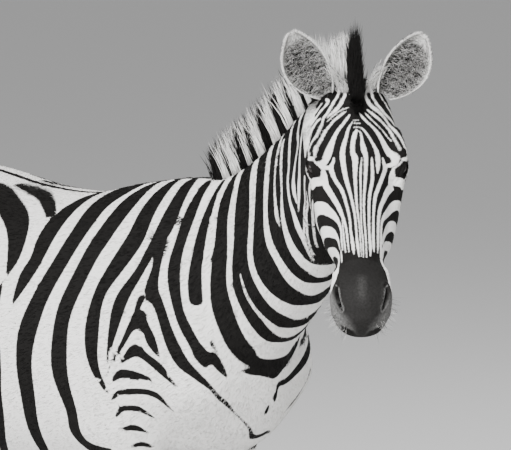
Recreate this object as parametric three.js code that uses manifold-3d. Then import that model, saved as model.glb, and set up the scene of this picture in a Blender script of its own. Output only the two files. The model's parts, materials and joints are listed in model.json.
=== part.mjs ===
// A plains zebra standing at life size, its head turned to its right.
// Millimetres, +Z up, +X the way the trunk faces, +Y its left side. The origin is on the floor,
// under the middle of the model's bounding box.
import * as THREE from "three";
import { mergeVertices } from "three/addons/utils/BufferGeometryUtils.js";
import Module from "manifold-3d";

const wasm = await Module();
wasm.setup();

// ---- Driving dimensions, in the trunk's own frame: x = 0 at mid-trunk, floor at z = 0 ----
const POLL = new THREE.Vector3(938, -172, 1557); // top of the skull, between the ears
const HEAD_TURN = 48; // degrees to the right of the trunk's axis
const HEAD_DROP = 55; // degrees that the face line falls below level
const HEAD_ROLL = 1; // degrees, right ear down
const EYE = { along: 158, out: 73, deep: 45, radius: 22 }; // from the poll, in the head's axes
const EAR = {
  length: 146, half: 51, depth: 41, thick: 6,
  along: 6, out: 55, deep: 38, // the root's place, in the head's axes
  splayRight: 26, splayLeft: 30, // degrees outward from upright
};
const HOOF = { height: 68, top: 34, toe: 56, half: 47, forward: 14, heelDrop: 14 };
const LEG_OUT = 128; // the feet's distance from the middle plane
const STRIDE = { fore_right: 14, fore_left: -26, hind_right: -34, hind_left: 30 };
const GAP = 0.3; // clearance between neighbouring solids

const UP = new THREE.Vector3(0, 0, 1);
const FORWARD = new THREE.Vector3(1, 0, 0);
const rad = THREE.MathUtils.degToRad;

// The head's own axes: along the face towards the nose, out of the forehead, and to its left.
const along = new THREE.Vector3(
  Math.cos(rad(HEAD_DROP)) * Math.cos(rad(HEAD_TURN)),
  -Math.cos(rad(HEAD_DROP)) * Math.sin(rad(HEAD_TURN)),
  -Math.sin(rad(HEAD_DROP)),
);
const level = new THREE.Vector3().crossVectors(UP, along).normalize();
const left = level.clone().applyAxisAngle(along, rad(-HEAD_ROLL));
const brow = new THREE.Vector3().crossVectors(along, left);
const onHead = (s, u, v) =>
  POLL.clone().addScaledVector(along, s).addScaledVector(left, u).addScaledVector(brow, v);

// ---- The flesh as one smooth field, negative inside ----

// A mass follows a smooth spine through its stations, each [point, half width, above, below, lean].
// Lean widens the section's top and narrows its foot by that share.
class Mass {
  constructor(stations, { up = UP, cap = 20, blend = 30, power = 2 } = {}) {
    const steps = 5 * (stations.length - 1);
    const spine = new THREE.CatmullRomCurve3(stations.map((s) => s[0]), false, "catmullrom", 0.5);
    const size = new THREE.CatmullRomCurve3(
      stations.map((s) => new THREE.Vector3(s[1], s[2], s[3])), false, "catmullrom", 0.5);
    const lean = new THREE.CatmullRomCurve3(
      stations.map((s) => new THREE.Vector3(s[4] ?? 0, 0, 0)), false, "catmullrom", 0.5);
    this.cap = cap;
    this.blend = blend;
    this.power = power;
    this.box = new THREE.Box3();
    this.knots = Array.from({ length: steps + 1 }, (_, i) => {
      const t = i / steps;
      const at = spine.getPoint(t);
      const tangent = spine.getTangent(t);
      const side = new THREE.Vector3().crossVectors(tangent, up).normalize();
      const top = new THREE.Vector3().crossVectors(side, tangent);
      const { x: wide, y: above, z: below } = size.getPoint(t);
      const reach = Math.max(wide, above, below);
      this.box.expandByPoint(at.clone().addScalar(reach)).expandByPoint(at.clone().addScalar(-reach));
      return { at, tangent, side, top, wide, above, below, lean: lean.getPoint(t).x };
    });
  }

  distance(p) {
    const away = this.box.distanceToPoint(p);
    if (away > 150) return away;
    const near = nearestOn(this.knots, p);
    const { a, b, t, offset } = near;
    const mix = (key) => a[key] + (b[key] - a[key]) * t;
    const u = offset.dot(a.side) * (1 - t) + offset.dot(b.side) * t;
    const v = offset.dot(a.top) * (1 - t) + offset.dot(b.top) * t;
    const w = offset.dot(a.tangent) * (1 - t) + offset.dot(b.tangent) * t;
    const tall = v > 0 ? mix("above") : mix("below");
    const rise = THREE.MathUtils.clamp(v / tall, -1, 1);
    const wide = mix("wide") * (1 + mix("lean") * rise);
    const flat = Math.pow(Math.abs(u / wide), this.power) + Math.pow(Math.abs(v / tall), this.power);
    const r = Math.hypot(Math.pow(flat, 1 / this.power), w / this.cap);
    const size = Math.hypot(u, v, w);
    return r < 1e-6 ? -Math.min(wide, tall) : size * (1 - 1 / r);
  }
}

function nearestOn(knots, p) {
  let best = { d2: Infinity };
  for (let i = 0; i + 1 < knots.length; i++) {
    const a = knots[i];
    const b = knots[i + 1];
    const run = b.at.clone().sub(a.at);
    const t = THREE.MathUtils.clamp(p.clone().sub(a.at).dot(run) / run.lengthSq(), 0, 1);
    const offset = p.clone().sub(a.at).addScaledVector(run, -t);
    const d2 = offset.lengthSq();
    if (d2 < best.d2) best = { d2, a, b, t, offset };
  }
  return best;
}

const smoothMin = (a, b, k) => {
  const h = Math.max(k - Math.abs(a - b), 0) / k;
  return Math.min(a, b) - (h * h * k) / 4;
};

const at = (x, y, z) => new THREE.Vector3(x, y, z);
const mirrored = (make) => [-1, 1].map(make);

const trunk = [
  new Mass([
    [at(-640, 0, 1075), 95, 110, 120, 0],
    [at(-560, 0, 1065), 165, 195, 200, -0.05],
    [at(-430, 0, 1045), 215, 256, 270, -0.08],
    [at(-240, 0, 1010), 252, 286, 300, -0.1],
    [at(-40, 0, 985), 278, 282, 325, -0.12],
    [at(150, 0, 985), 262, 280, 320, -0.16],
    [at(300, 0, 1000), 218, 298, 305, -0.25],
    [at(410, 0, 1000), 178, 305, 280, -0.3],
    [at(500, 0, 980), 140, 240, 235, -0.25],
  ], { cap: 70, blend: 60, power: 2.15 }),
  // breast
  new Mass([[at(440, 0, 930), 165, 150, 160], [at(505, 0, 925), 150, 140, 150]],
    { cap: 95, blend: 70 }),
  ...mirrored((q) => new Mass([ // shoulder blade down to the point of the shoulder
    [at(360, q * 74, 1190), 44, 50, 70],
    [at(400, q * 108, 1100), 56, 85, 110],
    [at(465, q * 126, 990), 60, 82, 110],
    [at(492, q * 130, 915), 58, 72, 95],
  ], { up: FORWARD, cap: 50, blend: 70 })),
  ...mirrored((q) => new Mass([ // upper arm muscle, ending at the elbow
    [at(335, q * 135, 1060), 60, 80, 80],
    [at(322, q * 158, 940), 66, 100, 85],
    [at(318, q * 166, 840), 56, 90, 72],
  ], { up: FORWARD, cap: 60, blend: 55 })),
  ...mirrored((q) => new Mass([ // rump over the hip
    [at(-430, q * 90, 1200), 95, 110, 100],
    [at(-520, q * 105, 1130), 105, 130, 100],
    [at(-590, q * 95, 1020), 95, 110, 80],
  ], { up: FORWARD, cap: 60, blend: 70 })),
];

const foreleg = (q, step) => new Mass([
  [at(335, q * 150, 900), 64, 92, 80],
  [at(338, q * 156, 800), 58, 84, 78],
  [at(352 + step * 0.3, q * 150, 715), 49, 64, 62],
  [at(368 + step * 0.5, q * 141, 600), 39, 47, 46],
  [at(376 + step * 0.7, q * 133, 490), 31, 35, 33],
  [at(380 + step * 0.8, q * 130, 420), 34, 35, 33],
  [at(378 + step * 0.85, q * 129, 360), 26, 25, 29],
  [at(376 + step * 0.9, q * LEG_OUT, 270), 20, 20, 25],
  [at(376 + step, q * LEG_OUT, 195), 22, 22, 28],
  [at(382 + step, q * LEG_OUT, 155), 27, 27, 34],
  [at(402 + step, q * LEG_OUT, 112), 24, 24, 26],
  [at(424 + step, q * LEG_OUT, 62), 31, 33, 36],
  [at(434 + step, q * LEG_OUT, 36), 33, 35, 37],
], { up: FORWARD, cap: 12, blend: 45 });

const hindleg = (q, step) => [
  new Mass([
    [at(-490, q * 128, 1060), 92, 150, 120],
    [at(-462, q * 150, 950), 90, 150, 160],
    [at(-448, q * 160, 850), 74, 122, 150],
    [at(-468, q * 158, 750), 58, 88, 100],
    [at(-520 + step * 0.4, q * 150, 650), 44, 58, 66],
    [at(-578 + step * 0.7, q * 142, 565), 33, 40, 46],
    [at(-606 + step * 0.9, q * 137, 500), 31, 36, 40],
    [at(-612 + step, q * 134, 430), 27, 30, 33],
    [at(-610 + step, q * 131, 330), 21, 23, 27],
    [at(-608 + step, q * 130, 235), 22, 23, 27],
    [at(-600 + step, q * 130, 168), 27, 28, 34],
    [at(-580 + step, q * 130, 118), 24, 25, 27],
    [at(-558 + step, q * 130, 64), 31, 33, 36],
    [at(-548 + step, q * 130, 38), 33, 35, 37],
  ], { up: FORWARD, cap: 12, blend: 70 }),
  new Mass([ // heel bone and its tendon
    [at(-590 + step * 0.8, q * 140, 610), 10, 14, 14],
    [at(-628 + step * 0.9, q * 138, 565), 13, 18, 18],
    [at(-646 + step * 0.95, q * 136, 515), 18, 22, 22],
    [at(-636 + step, q * 134, 450), 15, 18, 18],
  ], { up: FORWARD, cap: 16, blend: 28 }),
];

const neck = [
  new Mass([
    [at(330, 0, 1070), 135, 185, 200, -0.2],
    [at(450, -4, 1120), 122, 178, 215, -0.3],
    [at(590, -26, 1195), 96, 166, 185, -0.35],
    [at(720, -70, 1285), 80, 158, 150, -0.35],
    [at(820, -118, 1378), 72, 142, 122, -0.3],
    [at(880, -160, 1450), 70, 108, 100, -0.2],
  ], { cap: 40, blend: 60 }),
];

const head = [
  // skull, face and jaw in one: top line, depth and half width, station by station
  new Mass([
    [-28, -35, 85, 48], [18, -6, 155, 72], [75, 3, 205, 85], [135, 6, 222, 87], [188, 4, 205, 78],
    [245, 0, 170, 69], [305, -3, 138, 56], [360, -5, 120, 48], [405, -7, 110, 50],
    [440, -12, 104, 50], [470, -26, 88, 44],
  ].map(([s, top, depth, wide]) => [
    onHead(s, 0, top - depth / 2), wide, depth / 2, depth / 2, 0.12,
  ]), { up: brow, cap: 22, blend: 20, power: 2.3 }),
  ...mirrored((q) => new Mass([ // cheek muscle
    [onHead(90, q * 54, -130), 26, 62, 66], [onHead(165, q * 62, -122), 26, 56, 60],
    [onHead(232, q * 57, -104), 23, 40, 44], [onHead(285, q * 46, -88), 16, 26, 30],
  ], { up: brow, cap: 50, blend: 30 })),
  ...mirrored((q) => new Mass([ // bony rim over the eye, running forward as the cheek's ridge
    [onHead(95, q * 74, -30), 14, 16, 22], [onHead(142, q * 84, -20), 14, 12, 12],
    [onHead(188, q * 80, -50), 12, 14, 15], [onHead(240, q * 65, -66), 12, 14, 16],
    [onHead(300, q * 50, -76), 10, 14, 16],
  ], { up: brow, cap: 16, blend: 26 })),
  ...mirrored((q) => new Mass([ // nostril wing
    [onHead(392, q * 36, -34), 18, 18, 22], [onHead(428, q * 42, -48), 18, 22, 24],
    [onHead(452, q * 42, -66), 16, 20, 20],
  ], { up: brow, cap: 16, blend: 24 })),
  // lips and chin
  new Mass([[onHead(400, 0, -90), 44, 26, 22], [onHead(455, 0, -84), 46, 28, 22],
    [onHead(478, 0, -72), 42, 30, 26]], { up: brow, cap: 20, blend: 20 }),
  new Mass([[onHead(390, 0, -108), 34, 18, 16], [onHead(440, 0, -112), 36, 18, 18]],
    { up: brow, cap: 24, blend: 20 }),
];

// Each foot's place on the floor follows from its stride.
const LEGS = mirrored((q) => {
  const side = q > 0 ? "left" : "right";
  const [fore, hind] = [STRIDE["fore_" + side], STRIDE["hind_" + side]];
  return [
    { name: "fore_" + side, q, masses: [foreleg(q, fore)], foot: [424 + fore, q * LEG_OUT] },
    { name: "hind_" + side, q, masses: hindleg(q, hind), foot: [-558 + hind, q * (LEG_OUT + 2)] },
  ];
}).flat();

const flesh = [...trunk, ...neck, ...head, ...LEGS.flatMap((leg) => leg.masses)];
const field = (p) => flesh.reduce((d, mass) => smoothMin(d, mass.distance(p), mass.blend), 1e6);

// ---- Field to closed mesh: one vertex in each cell that the surface crosses ----
const CORNERS = [0, 1, 2, 3, 4, 5, 6, 7].map((c) => [c & 1, (c >> 1) & 1, c >> 2]);

function surfaceNet(field, low, high, cell) {
  const middle = low.clone().add(high).divideScalar(2);
  const half = high.clone().sub(low).divideScalar(2).sub(cell);
  const value = (p) => Math.max(field(p), Math.abs(p.x - middle.x) - half.x,
    Math.abs(p.y - middle.y) - half.y, Math.abs(p.z - middle.z) - half.z);
  const n = ["x", "y", "z"].map((k) => Math.ceil((high[k] - low[k]) / cell[k]) + 1);
  const step = [cell.x, cell.y, cell.z];
  const place = (i, j, k) => at(low.x + i * step[0], low.y + j * step[1], low.z + k * step[2]);
  const index = (i, j, k) => (k * n[1] + j) * n[0] + i;
  const values = new Float64Array(n[0] * n[1] * n[2]);
  for (let k = 0; k < n[2]; k++)
    for (let j = 0; j < n[1]; j++)
      for (let i = 0; i < n[0]; i++) values[index(i, j, k)] = value(place(i, j, k));

  const points = [];
  const pointOf = new Map();
  const pointIn = (i, j, k) => {
    const key = index(i, j, k);
    if (pointOf.has(key)) return pointOf.get(key);
    const sum = at(0, 0, 0);
    let crossings = 0;
    for (const [a, b] of CELL_EDGES) {
      const va = values[index(i + CORNERS[a][0], j + CORNERS[a][1], k + CORNERS[a][2])];
      const vb = values[index(i + CORNERS[b][0], j + CORNERS[b][1], k + CORNERS[b][2])];
      if (va < 0 === vb < 0) continue;
      sum.add(at(...CORNERS[a]).lerp(at(...CORNERS[b]), va / (va - vb)));
      crossings++;
    }
    sum.divideScalar(crossings);
    const p = place(i + sum.x, j + sum.y, k + sum.z);
    pointOf.set(key, points.push(settle(p, value)) - 1);
    return points.length - 1;
  };

  const faces = [];
  const ring = [[[0, 0, 0], [0, -1, 0], [0, -1, -1], [0, 0, -1]],
    [[0, 0, 0], [0, 0, -1], [-1, 0, -1], [-1, 0, 0]],
    [[0, 0, 0], [-1, 0, 0], [-1, -1, 0], [0, -1, 0]]];
  for (let k = 1; k < n[2] - 1; k++)
    for (let j = 1; j < n[1] - 1; j++)
      for (let i = 1; i < n[0] - 1; i++) {
        const inside = values[index(i, j, k)] < 0;
        ring.forEach((cells, axis) => {
          const next = [i, j, k];
          next[axis]++;
          if (inside === values[index(...next)] < 0) return;
          const quad = cells.map(([a, b, c]) => pointIn(i + a, j + b, k + c));
          if (!inside) quad.reverse();
          const [p, q, r, s] = quad.map((v) => points[v]);
          const [a, b, c, d] = quad;
          faces.push(...(p.distanceTo(r) < q.distanceTo(s) ? [a, b, c, a, c, d] : [a, b, d, b, c, d]));
        });
      }
  return closedSolid(points.flatMap((p) => [p.x, p.y, p.z]), faces);
}

const CELL_EDGES = CORNERS.flatMap((a, i) =>
  CORNERS.map((b, j) => [i, j, Math.abs(a[0] - b[0]) + Math.abs(a[1] - b[1]) + Math.abs(a[2] - b[2])])
    .filter(([, j, apart]) => j > i && apart === 1));

// Moves a point on to the surface along the field's slope.
function settle(p, value) {
  const h = 0.5;
  for (let round = 0; round < 3; round++) {
    const d = value(p);
    const slope = at(
      value(at(p.x + h, p.y, p.z)) - d, value(at(p.x, p.y + h, p.z)) - d,
      value(at(p.x, p.y, p.z + h)) - d).divideScalar(h);
    p.addScaledVector(slope, -THREE.MathUtils.clamp(d / Math.max(slope.lengthSq(), 0.3), -6, 6));
  }
  return p;
}

function closedSolid(vertProperties, triVerts) {
  return new wasm.Manifold(new wasm.Mesh({
    numProp: 3,
    vertProperties: new Float32Array(vertProperties),
    triVerts: new Uint32Array(triVerts),
  }));
}

function solidFrom(geometry) {
  const bare = new THREE.BufferGeometry()
    .setAttribute("position", geometry.getAttribute("position"))
    .setIndex(geometry.index);
  const merged = mergeVertices(bare, 1e-3);
  return closedSolid(merged.attributes.position.array, merged.index.array);
}

// ---- Where the body is parted ----
const NECK_ROOT = { point: at(520, 0, 1160), normal: at(0.72, -0.08, 0.3) };
const FORE_LEG = { low: at(205, 55, -20), high: at(474, 320, 800) }; // the left legs' blocks of space
const HIND_LEG = { low: at(-780, 34, -20), high: at(-318, 320, 820) };
const HEAD_BACK = -8; // the head is what lies ahead of this and above the jaw's underside
const JAW_UNDER = -228;

const flip = (v) => v.clone().multiplyScalar(-1);

// A solid's part on the side that the normal points to, half a gap off the plane.
function beyond(solid, { point, normal }) {
  const n = normal.clone().normalize();
  return solid.trimByPlane([n.x, n.y, n.z], n.dot(point) + GAP / 2);
}
const behind = (solid, { point, normal }) => beyond(solid, { point, normal: flip(normal) });
const largest = (solid) => solid.decompose().sort((a, b) => b.volume() - a.volume())[0];

// A box's solid, drawn in by inset on every side.
function block(low, high, inset, place = new THREE.Matrix4()) {
  const size = high.clone().sub(low).subScalar(2 * inset);
  const middle = low.clone().add(high).divideScalar(2);
  const box = new THREE.BoxGeometry(size.x, size.y, size.z).translate(middle.x, middle.y, middle.z);
  return solidFrom(box.applyMatrix4(place));
}
const headBlock = (inset) => block(at(HEAD_BACK, -300, JAW_UNDER), at(700, 300, 300), inset,
  new THREE.Matrix4().makeBasis(along, left, brow).setPosition(POLL));
const legBlock = ({ low, high }, q, inset) => (q > 0 ? block(low, high, inset)
  : block(at(low.x, -high.y, low.z), at(high.x, -low.y, high.z), inset));

// ---- Hair, ears, eyes, hooves and tail ----
const HAIR = { half: 15, sunk: 14 }; // the mane's half width, and how deep it starts under the skin
const MANE_TALL = [34, 72, 78, 78, 80, 86, 98]; // from the withers to the poll
const mane = new Mass([
  ...MANE_TALL.map((tall, i) => {
    const knot = neck[0].knots[6 + 3 * i];
    const crest = knot.at.clone().addScaledVector(knot.top, knot.above);
    return [crest, HAIR.half, tall, HAIR.sunk, -0.35];
  }),
  [onHead(-30, 0, -28), HAIR.half, 106, 16, -0.35],
  [onHead(2, 0, -6), HAIR.half + 2, 112, 16, -0.2],
  [onHead(26, 0, 0), HAIR.half - 2, 70, 12, -0.2],
], { cap: 14 });

const dock = new Mass([
  [at(-640, 0, 1190), 34, 34, 34], [at(-690, 0, 1160), 30, 30, 30], [at(-728, 0, 1090), 25, 24, 24],
  [at(-742, 0, 980), 20, 19, 19], [at(-742, 0, 870), 17, 16, 16],
], { up: FORWARD, cap: 8 });
const tuft = new Mass([
  [at(-742, 0, 885), 22, 22, 22], [at(-744, 0, 800), 34, 34, 32], [at(-748, 0, 690), 42, 40, 40],
  [at(-750, 0, 580), 34, 32, 32], [at(-748, 0, 500), 14, 14, 14],
], { up: FORWARD, cap: 20 });

// An ear is a cupped shell, open to the front: q is -1 for the right ear and 1 for the left.
function earSolid(q) {
  const rows = 8;
  const columns = 8;
  const splay = rad(q < 0 ? EAR.splayRight : EAR.splayLeft);
  const ahead = new THREE.Vector3(along.x, along.y, 0).normalize();
  const out = new THREE.Vector3().crossVectors(UP, ahead).multiplyScalar(q);
  const axis = UP.clone().multiplyScalar(Math.cos(splay)).addScaledVector(out, Math.sin(splay));
  const across = out.clone().multiplyScalar(Math.cos(splay)).addScaledVector(UP, -Math.sin(splay));
  const base = onHead(EAR.along, q * EAR.out, -EAR.deep);
  const surface = (thick) => Array.from({ length: rows + 1 }, (_, i) => {
    const t = i / rows;
    const wide = Math.max(EAR.half * earWidth(t) - thick, 1);
    const deep = Math.max(EAR.depth * Math.pow(1 - t, 0.6) * earWidth(t / 2) + 5 - thick, 1);
    const open = rad(118 - 34 * t);
    return Array.from({ length: columns + 1 }, (_, j) => {
      const turn = open * (2 * j / columns - 1);
      return base.clone().addScaledVector(axis, (EAR.length - thick) * t)
        .addScaledVector(across, wide * Math.sin(turn) + 8 * Math.sin(Math.PI * t))
        .addScaledVector(ahead, 8 + 10 * t - deep * Math.cos(turn));
    });
  });
  return gridShell(surface(0), surface(EAR.thick), q);
}
const earWidth = (t) => Math.pow(Math.sin(Math.PI * (0.06 + 0.935 * t)), 0.6);

// A closed solid through every nth section of a mass.
function loft(mass, sides, nth = 1) {
  const sections = mass.knots.filter((_, i) => i % nth === 0);
  const points = sections.flatMap((k) => Array.from({ length: sides }, (_, j) => {
    const turn = (2 * Math.PI * j) / sides;
    const rise = Math.sin(turn);
    return k.at.clone().addScaledVector(k.side, k.wide * (1 + k.lean * rise) * Math.cos(turn))
      .addScaledVector(k.top, (rise > 0 ? k.above : k.below) * rise);
  }));
  const last = (sections.length - 1) * sides;
  const start = points.push(sections[0].at) - 1;
  const end = points.push(sections.at(-1).at) - 1;
  const faces = [];
  for (let j = 0; j < sides; j++) {
    const next = (j + 1) % sides;
    for (let i = 0; i < last; i += sides)
      faces.push(i + j, i + sides + j, i + next, i + next, i + sides + j, i + sides + next);
    faces.push(start, j, next, end, last + next, last + j);
  }
  return closedSolid(points.flatMap((p) => [p.x, p.y, p.z]), faces);
}

// A closed shell between an outer and an inner grid of the same size.
function gridShell(outer, inner, q) {
  const rows = outer.length;
  const columns = outer[0].length;
  const id = (layer, i, j) => (layer * rows + i) * columns + j;
  const faces = [];
  const quad = (a, b, c, d) => faces.push(a, b, c, a, c, d);
  for (let i = 0; i + 1 < rows; i++) {
    for (let j = 0; j + 1 < columns; j++) {
      quad(id(0, i, j), id(0, i, j + 1), id(0, i + 1, j + 1), id(0, i + 1, j));
      quad(id(1, i, j), id(1, i + 1, j), id(1, i + 1, j + 1), id(1, i, j + 1));
    }
    const last = columns - 1;
    quad(id(0, i, 0), id(0, i + 1, 0), id(1, i + 1, 0), id(1, i, 0));
    quad(id(0, i, last), id(1, i, last), id(1, i + 1, last), id(0, i + 1, last));
  }
  for (let j = 0; j + 1 < columns; j++) {
    const last = rows - 1;
    quad(id(0, 0, j), id(1, 0, j), id(1, 0, j + 1), id(0, 0, j + 1));
    quad(id(0, last, j), id(0, last, j + 1), id(1, last, j + 1), id(1, last, j));
  }
  if (q > 0) faces.reverse();
  return closedSolid([...outer.flat(), ...inner.flat()].flatMap((p) => [p.x, p.y, p.z]), faces);
}

function ball(centre, radius, detail = 2) {
  const sphere = new THREE.IcosahedronGeometry(radius, detail);
  return solidFrom(sphere.translate(centre.x, centre.y, centre.z));
}

// A hoof widens from the coronet down to its flat sole; (x, y) is the middle of the coronet.
function hoofSolid(x, y) {
  const rings = 3;
  const sides = 14;
  const points = [];
  for (let i = 0; i <= rings; i++) {
    const t = i / rings; // 0 at the coronet, 1 at the sole
    for (let j = 0; j < sides; j++) {
      const turn = (2 * Math.PI * j) / sides;
      const reach = Math.cos(turn) > 0 ? HOOF.top + (HOOF.toe - HOOF.top) * t : HOOF.top + 4 * t;
      const wide = HOOF.top - 2 + (HOOF.half - HOOF.top + 2) * t;
      const top = HOOF.height - GAP - HOOF.heelDrop * (1 - Math.cos(turn)) / 2;
      points.push(at(x + HOOF.forward * t + reach * Math.cos(turn), y + wide * Math.sin(turn),
        top * (1 - t)));
    }
  }
  const crown = points.push(at(x, y, HOOF.height - GAP - HOOF.heelDrop / 2)) - 1;
  const sole = points.push(at(x + HOOF.forward, y, 0)) - 1;
  const faces = [];
  for (let j = 0; j < sides; j++) {
    const next = (j + 1) % sides;
    for (let i = 0; i < rings; i++) {
      const [a, b] = [i * sides + j, i * sides + next];
      faces.push(a, a + sides, b, b, a + sides, b + sides);
    }
    faces.push(crown, j, next, sole, rings * sides + next, rings * sides + j);
  }
  return closedSolid(points.flatMap((p) => [p.x, p.y, p.z]), faces);
}

// ---- The nodes ----
const net = (masses, low, high, cell) => surfaceNet(masses, at(...low), at(...high), at(...cell));

function geometryOf(solid) {
  const mesh = solid.getMesh();
  const geometry = new THREE.BufferGeometry()
    .setAttribute("position", new THREE.BufferAttribute(new Float32Array(mesh.vertProperties), 3))
    .setIndex(new THREE.BufferAttribute(mesh.triVerts, 1));
  geometry.computeVertexNormals();
  return geometry;
}

// The solid with its surface moved out by a little more than the gap, to cut a neighbour clear of it.
function grown(solid) {
  const geometry = geometryOf(solid);
  const { position, normal } = geometry.attributes;
  const p = at(0, 0, 0);
  for (let i = 0; i < position.count; i++) {
    p.fromBufferAttribute(normal, i).multiplyScalar(4 * GAP);
    position.setXYZ(i, position.getX(i) + p.x, position.getY(i) + p.y, position.getZ(i) + p.z);
  }
  return solidFrom(geometry);
}
const without = (solid, others) => largest(others.reduce((rest, other) => rest.subtract(other), solid));

const eyes = mirrored((q) => onHead(EYE.along, q * EYE.out, -EYE.deep));
function headPiece() {
  const middle = onHead(235, 0, -90);
  const whole = surfaceNet(field, middle.clone().subScalar(340), middle.clone().addScalar(340),
    at(26.5, 26.5, 26.5));
  const sockets = mirrored((q) => eyes[q < 0 ? 0 : 1].clone()
    .addScaledVector(along, EYE.radius * 0.3).addScaledVector(left, q * EYE.radius * 0.62)
    .addScaledVector(brow, EYE.radius * 0.1));
  return without(whole.intersect(headBlock(GAP / 2)),
    [...eyes, ...sockets].map((centre) => ball(centre, EYE.radius + GAP)));
}
const headSolid = headPiece();
const ears = mirrored((q) => without(earSolid(q), [grown(headSolid)]));

const neckNet = net(field, [380, -420, 800], [1080, 240, 1660], [42, 38, 42]);
const neckSolid = without(beyond(neckNet, NECK_ROOT), [headBlock(-GAP / 2), ...ears.map(grown)]);

const trunkNet = net(field, [-800, -340, 560], [720, 340, 1400], [72, 64, 66]);
const trunkSolid = without(behind(trunkNet, NECK_ROOT),
  mirrored((q) => [legBlock(FORE_LEG, q, -GAP / 2), legBlock(HIND_LEG, q, -GAP / 2)]).flat());

function legPiece({ name, q, foot }) {
  const fore = name.startsWith("fore");
  const [low, high] = fore ? [[180, -300, -30], [540, 300, 860]] : [[-760, -330, -30], [-250, 330, 880]];
  if (q > 0) low[1] = -4;
  else high[1] = 4;
  const whole = net(field, low, high, fore ? [26, 24, 56] : [27, 24, 58]);
  const cut = whole.intersect(legBlock(fore ? FORE_LEG : HIND_LEG, q, GAP / 2));
  return largest(beyond(cut, { point: at(...foot, HOOF.height), normal: UP }));
}

const grownBody = [trunkSolid, neckSolid, headSolid].map(grown);
const tailSolid = without(loft(dock, 10, 2), [grownBody[0]]);

const COLOURS = { coat: 0xd8d8d6, hoof: 0x2c2b2a, eye: 0x0d0b0a, mane: 0x8c8c8a };
const root = new THREE.Group();
function show(name, solid, slot) {
  const material = new THREE.MeshStandardMaterial({ color: COLOURS[slot], roughness: 0.8 });
  const mesh = new THREE.Mesh(geometryOf(solid), material);
  mesh.name = name;
  root.add(mesh);
}
show("trunk", trunkSolid, "coat");
show("neck", neckSolid, "coat");
show("head", headSolid, "coat");
show("mane", without(loft(mane, 10, 3), [...grownBody, ...ears.map(grown)]), "mane");
show("tail", tailSolid, "coat");
show("tail_tuft", without(loft(tuft, 12, 2), [grown(tailSolid)]), "mane");
["right", "left"].forEach((side, i) => {
  show("ear_" + side, ears[i], "coat");
  show("eye_" + side, ball(eyes[i], EYE.radius), "eye");
});
for (const leg of LEGS) {
  show("leg_" + leg.name, legPiece(leg), "coat");
  show("hoof_" + leg.name, hoofSolid(...leg.foot), "hoof");
}

// The origin goes under the middle of the whole.
const { min, max } = new THREE.Box3().setFromObject(root);
root.position.set(-(min.x + max.x) / 2, -(min.y + max.y) / 2, -min.z);
export default root;
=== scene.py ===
"""A life-size plains zebra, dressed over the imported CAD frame.

The body is one smooth field of masses, as in the CAD part, so the skin can be made finer than
the solids and the hair can be rooted on it. Lengths in the tables are millimetres in the trunk's
own frame: x = 0 at mid-trunk, +x the way the trunk faces, +y its left, the floor at z = 0.
"""
import json
import math
from contextlib import contextmanager

import bmesh
import bpy
import numpy as np
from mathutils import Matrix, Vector
from mathutils.kdtree import KDTree

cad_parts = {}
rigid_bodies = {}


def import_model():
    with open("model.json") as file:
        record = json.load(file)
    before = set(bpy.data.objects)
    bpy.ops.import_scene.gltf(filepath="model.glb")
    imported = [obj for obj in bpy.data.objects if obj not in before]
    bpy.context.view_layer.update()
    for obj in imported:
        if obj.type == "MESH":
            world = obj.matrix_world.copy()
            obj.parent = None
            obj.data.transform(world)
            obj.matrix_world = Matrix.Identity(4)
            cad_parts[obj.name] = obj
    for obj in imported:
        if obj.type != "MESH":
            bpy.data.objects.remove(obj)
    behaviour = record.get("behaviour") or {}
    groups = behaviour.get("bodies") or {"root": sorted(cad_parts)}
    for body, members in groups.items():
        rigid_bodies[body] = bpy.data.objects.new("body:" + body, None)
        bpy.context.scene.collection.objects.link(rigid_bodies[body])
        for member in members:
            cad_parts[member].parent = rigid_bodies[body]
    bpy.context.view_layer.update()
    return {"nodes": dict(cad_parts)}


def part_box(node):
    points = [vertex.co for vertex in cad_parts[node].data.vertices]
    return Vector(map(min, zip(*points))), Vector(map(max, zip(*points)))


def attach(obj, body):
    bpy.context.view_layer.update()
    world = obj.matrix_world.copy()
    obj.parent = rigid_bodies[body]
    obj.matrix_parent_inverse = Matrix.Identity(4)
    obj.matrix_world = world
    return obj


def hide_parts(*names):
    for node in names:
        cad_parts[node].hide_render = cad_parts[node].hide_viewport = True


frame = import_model()
rng = np.random.default_rng(7)
MM = 0.001

# ---- The head's own axes, as in the CAD part ----
POLL = np.array([938.0, -172.0, 1557.0])  # top of the skull, between the ears
HEAD_TURN, HEAD_DROP, HEAD_ROLL = np.radians([48, 55, 1])
EYE = {"along": 158, "out": 73, "deep": 45, "radius": 22}
EYE_AT = np.array([EYE["along"], EYE["out"], -EYE["deep"]])  # the left eye, in the head's axes
SIDES = {"right": -1, "left": 1}
LEG_OUT = 128
STRIDE = {"fore_right": 14, "fore_left": -26, "hind_right": -34, "hind_left": 30}
COAT = 4.0  # how far the skin lies inside the solids


def unit(v):
    return v / np.linalg.norm(v, axis=-1, keepdims=True)


ALONG = np.array([
    math.cos(HEAD_DROP) * math.cos(HEAD_TURN),
    -math.cos(HEAD_DROP) * math.sin(HEAD_TURN),
    -math.sin(HEAD_DROP),
])  # down the face to the nose
LEVEL = unit(np.cross([0, 0, 1], ALONG))
LEFT = LEVEL * math.cos(HEAD_ROLL) - np.cross(ALONG, LEVEL) * math.sin(HEAD_ROLL)
BROW = np.cross(ALONG, LEFT)  # out of the forehead


def on_head(s, u, v):
    return POLL + s * ALONG + u * LEFT + v * BROW


def head_place(p):
    """How far along the face, to the left and out of the brow each point lies."""
    q = p - POLL
    return q @ ALONG, q @ LEFT, q @ BROW


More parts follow.
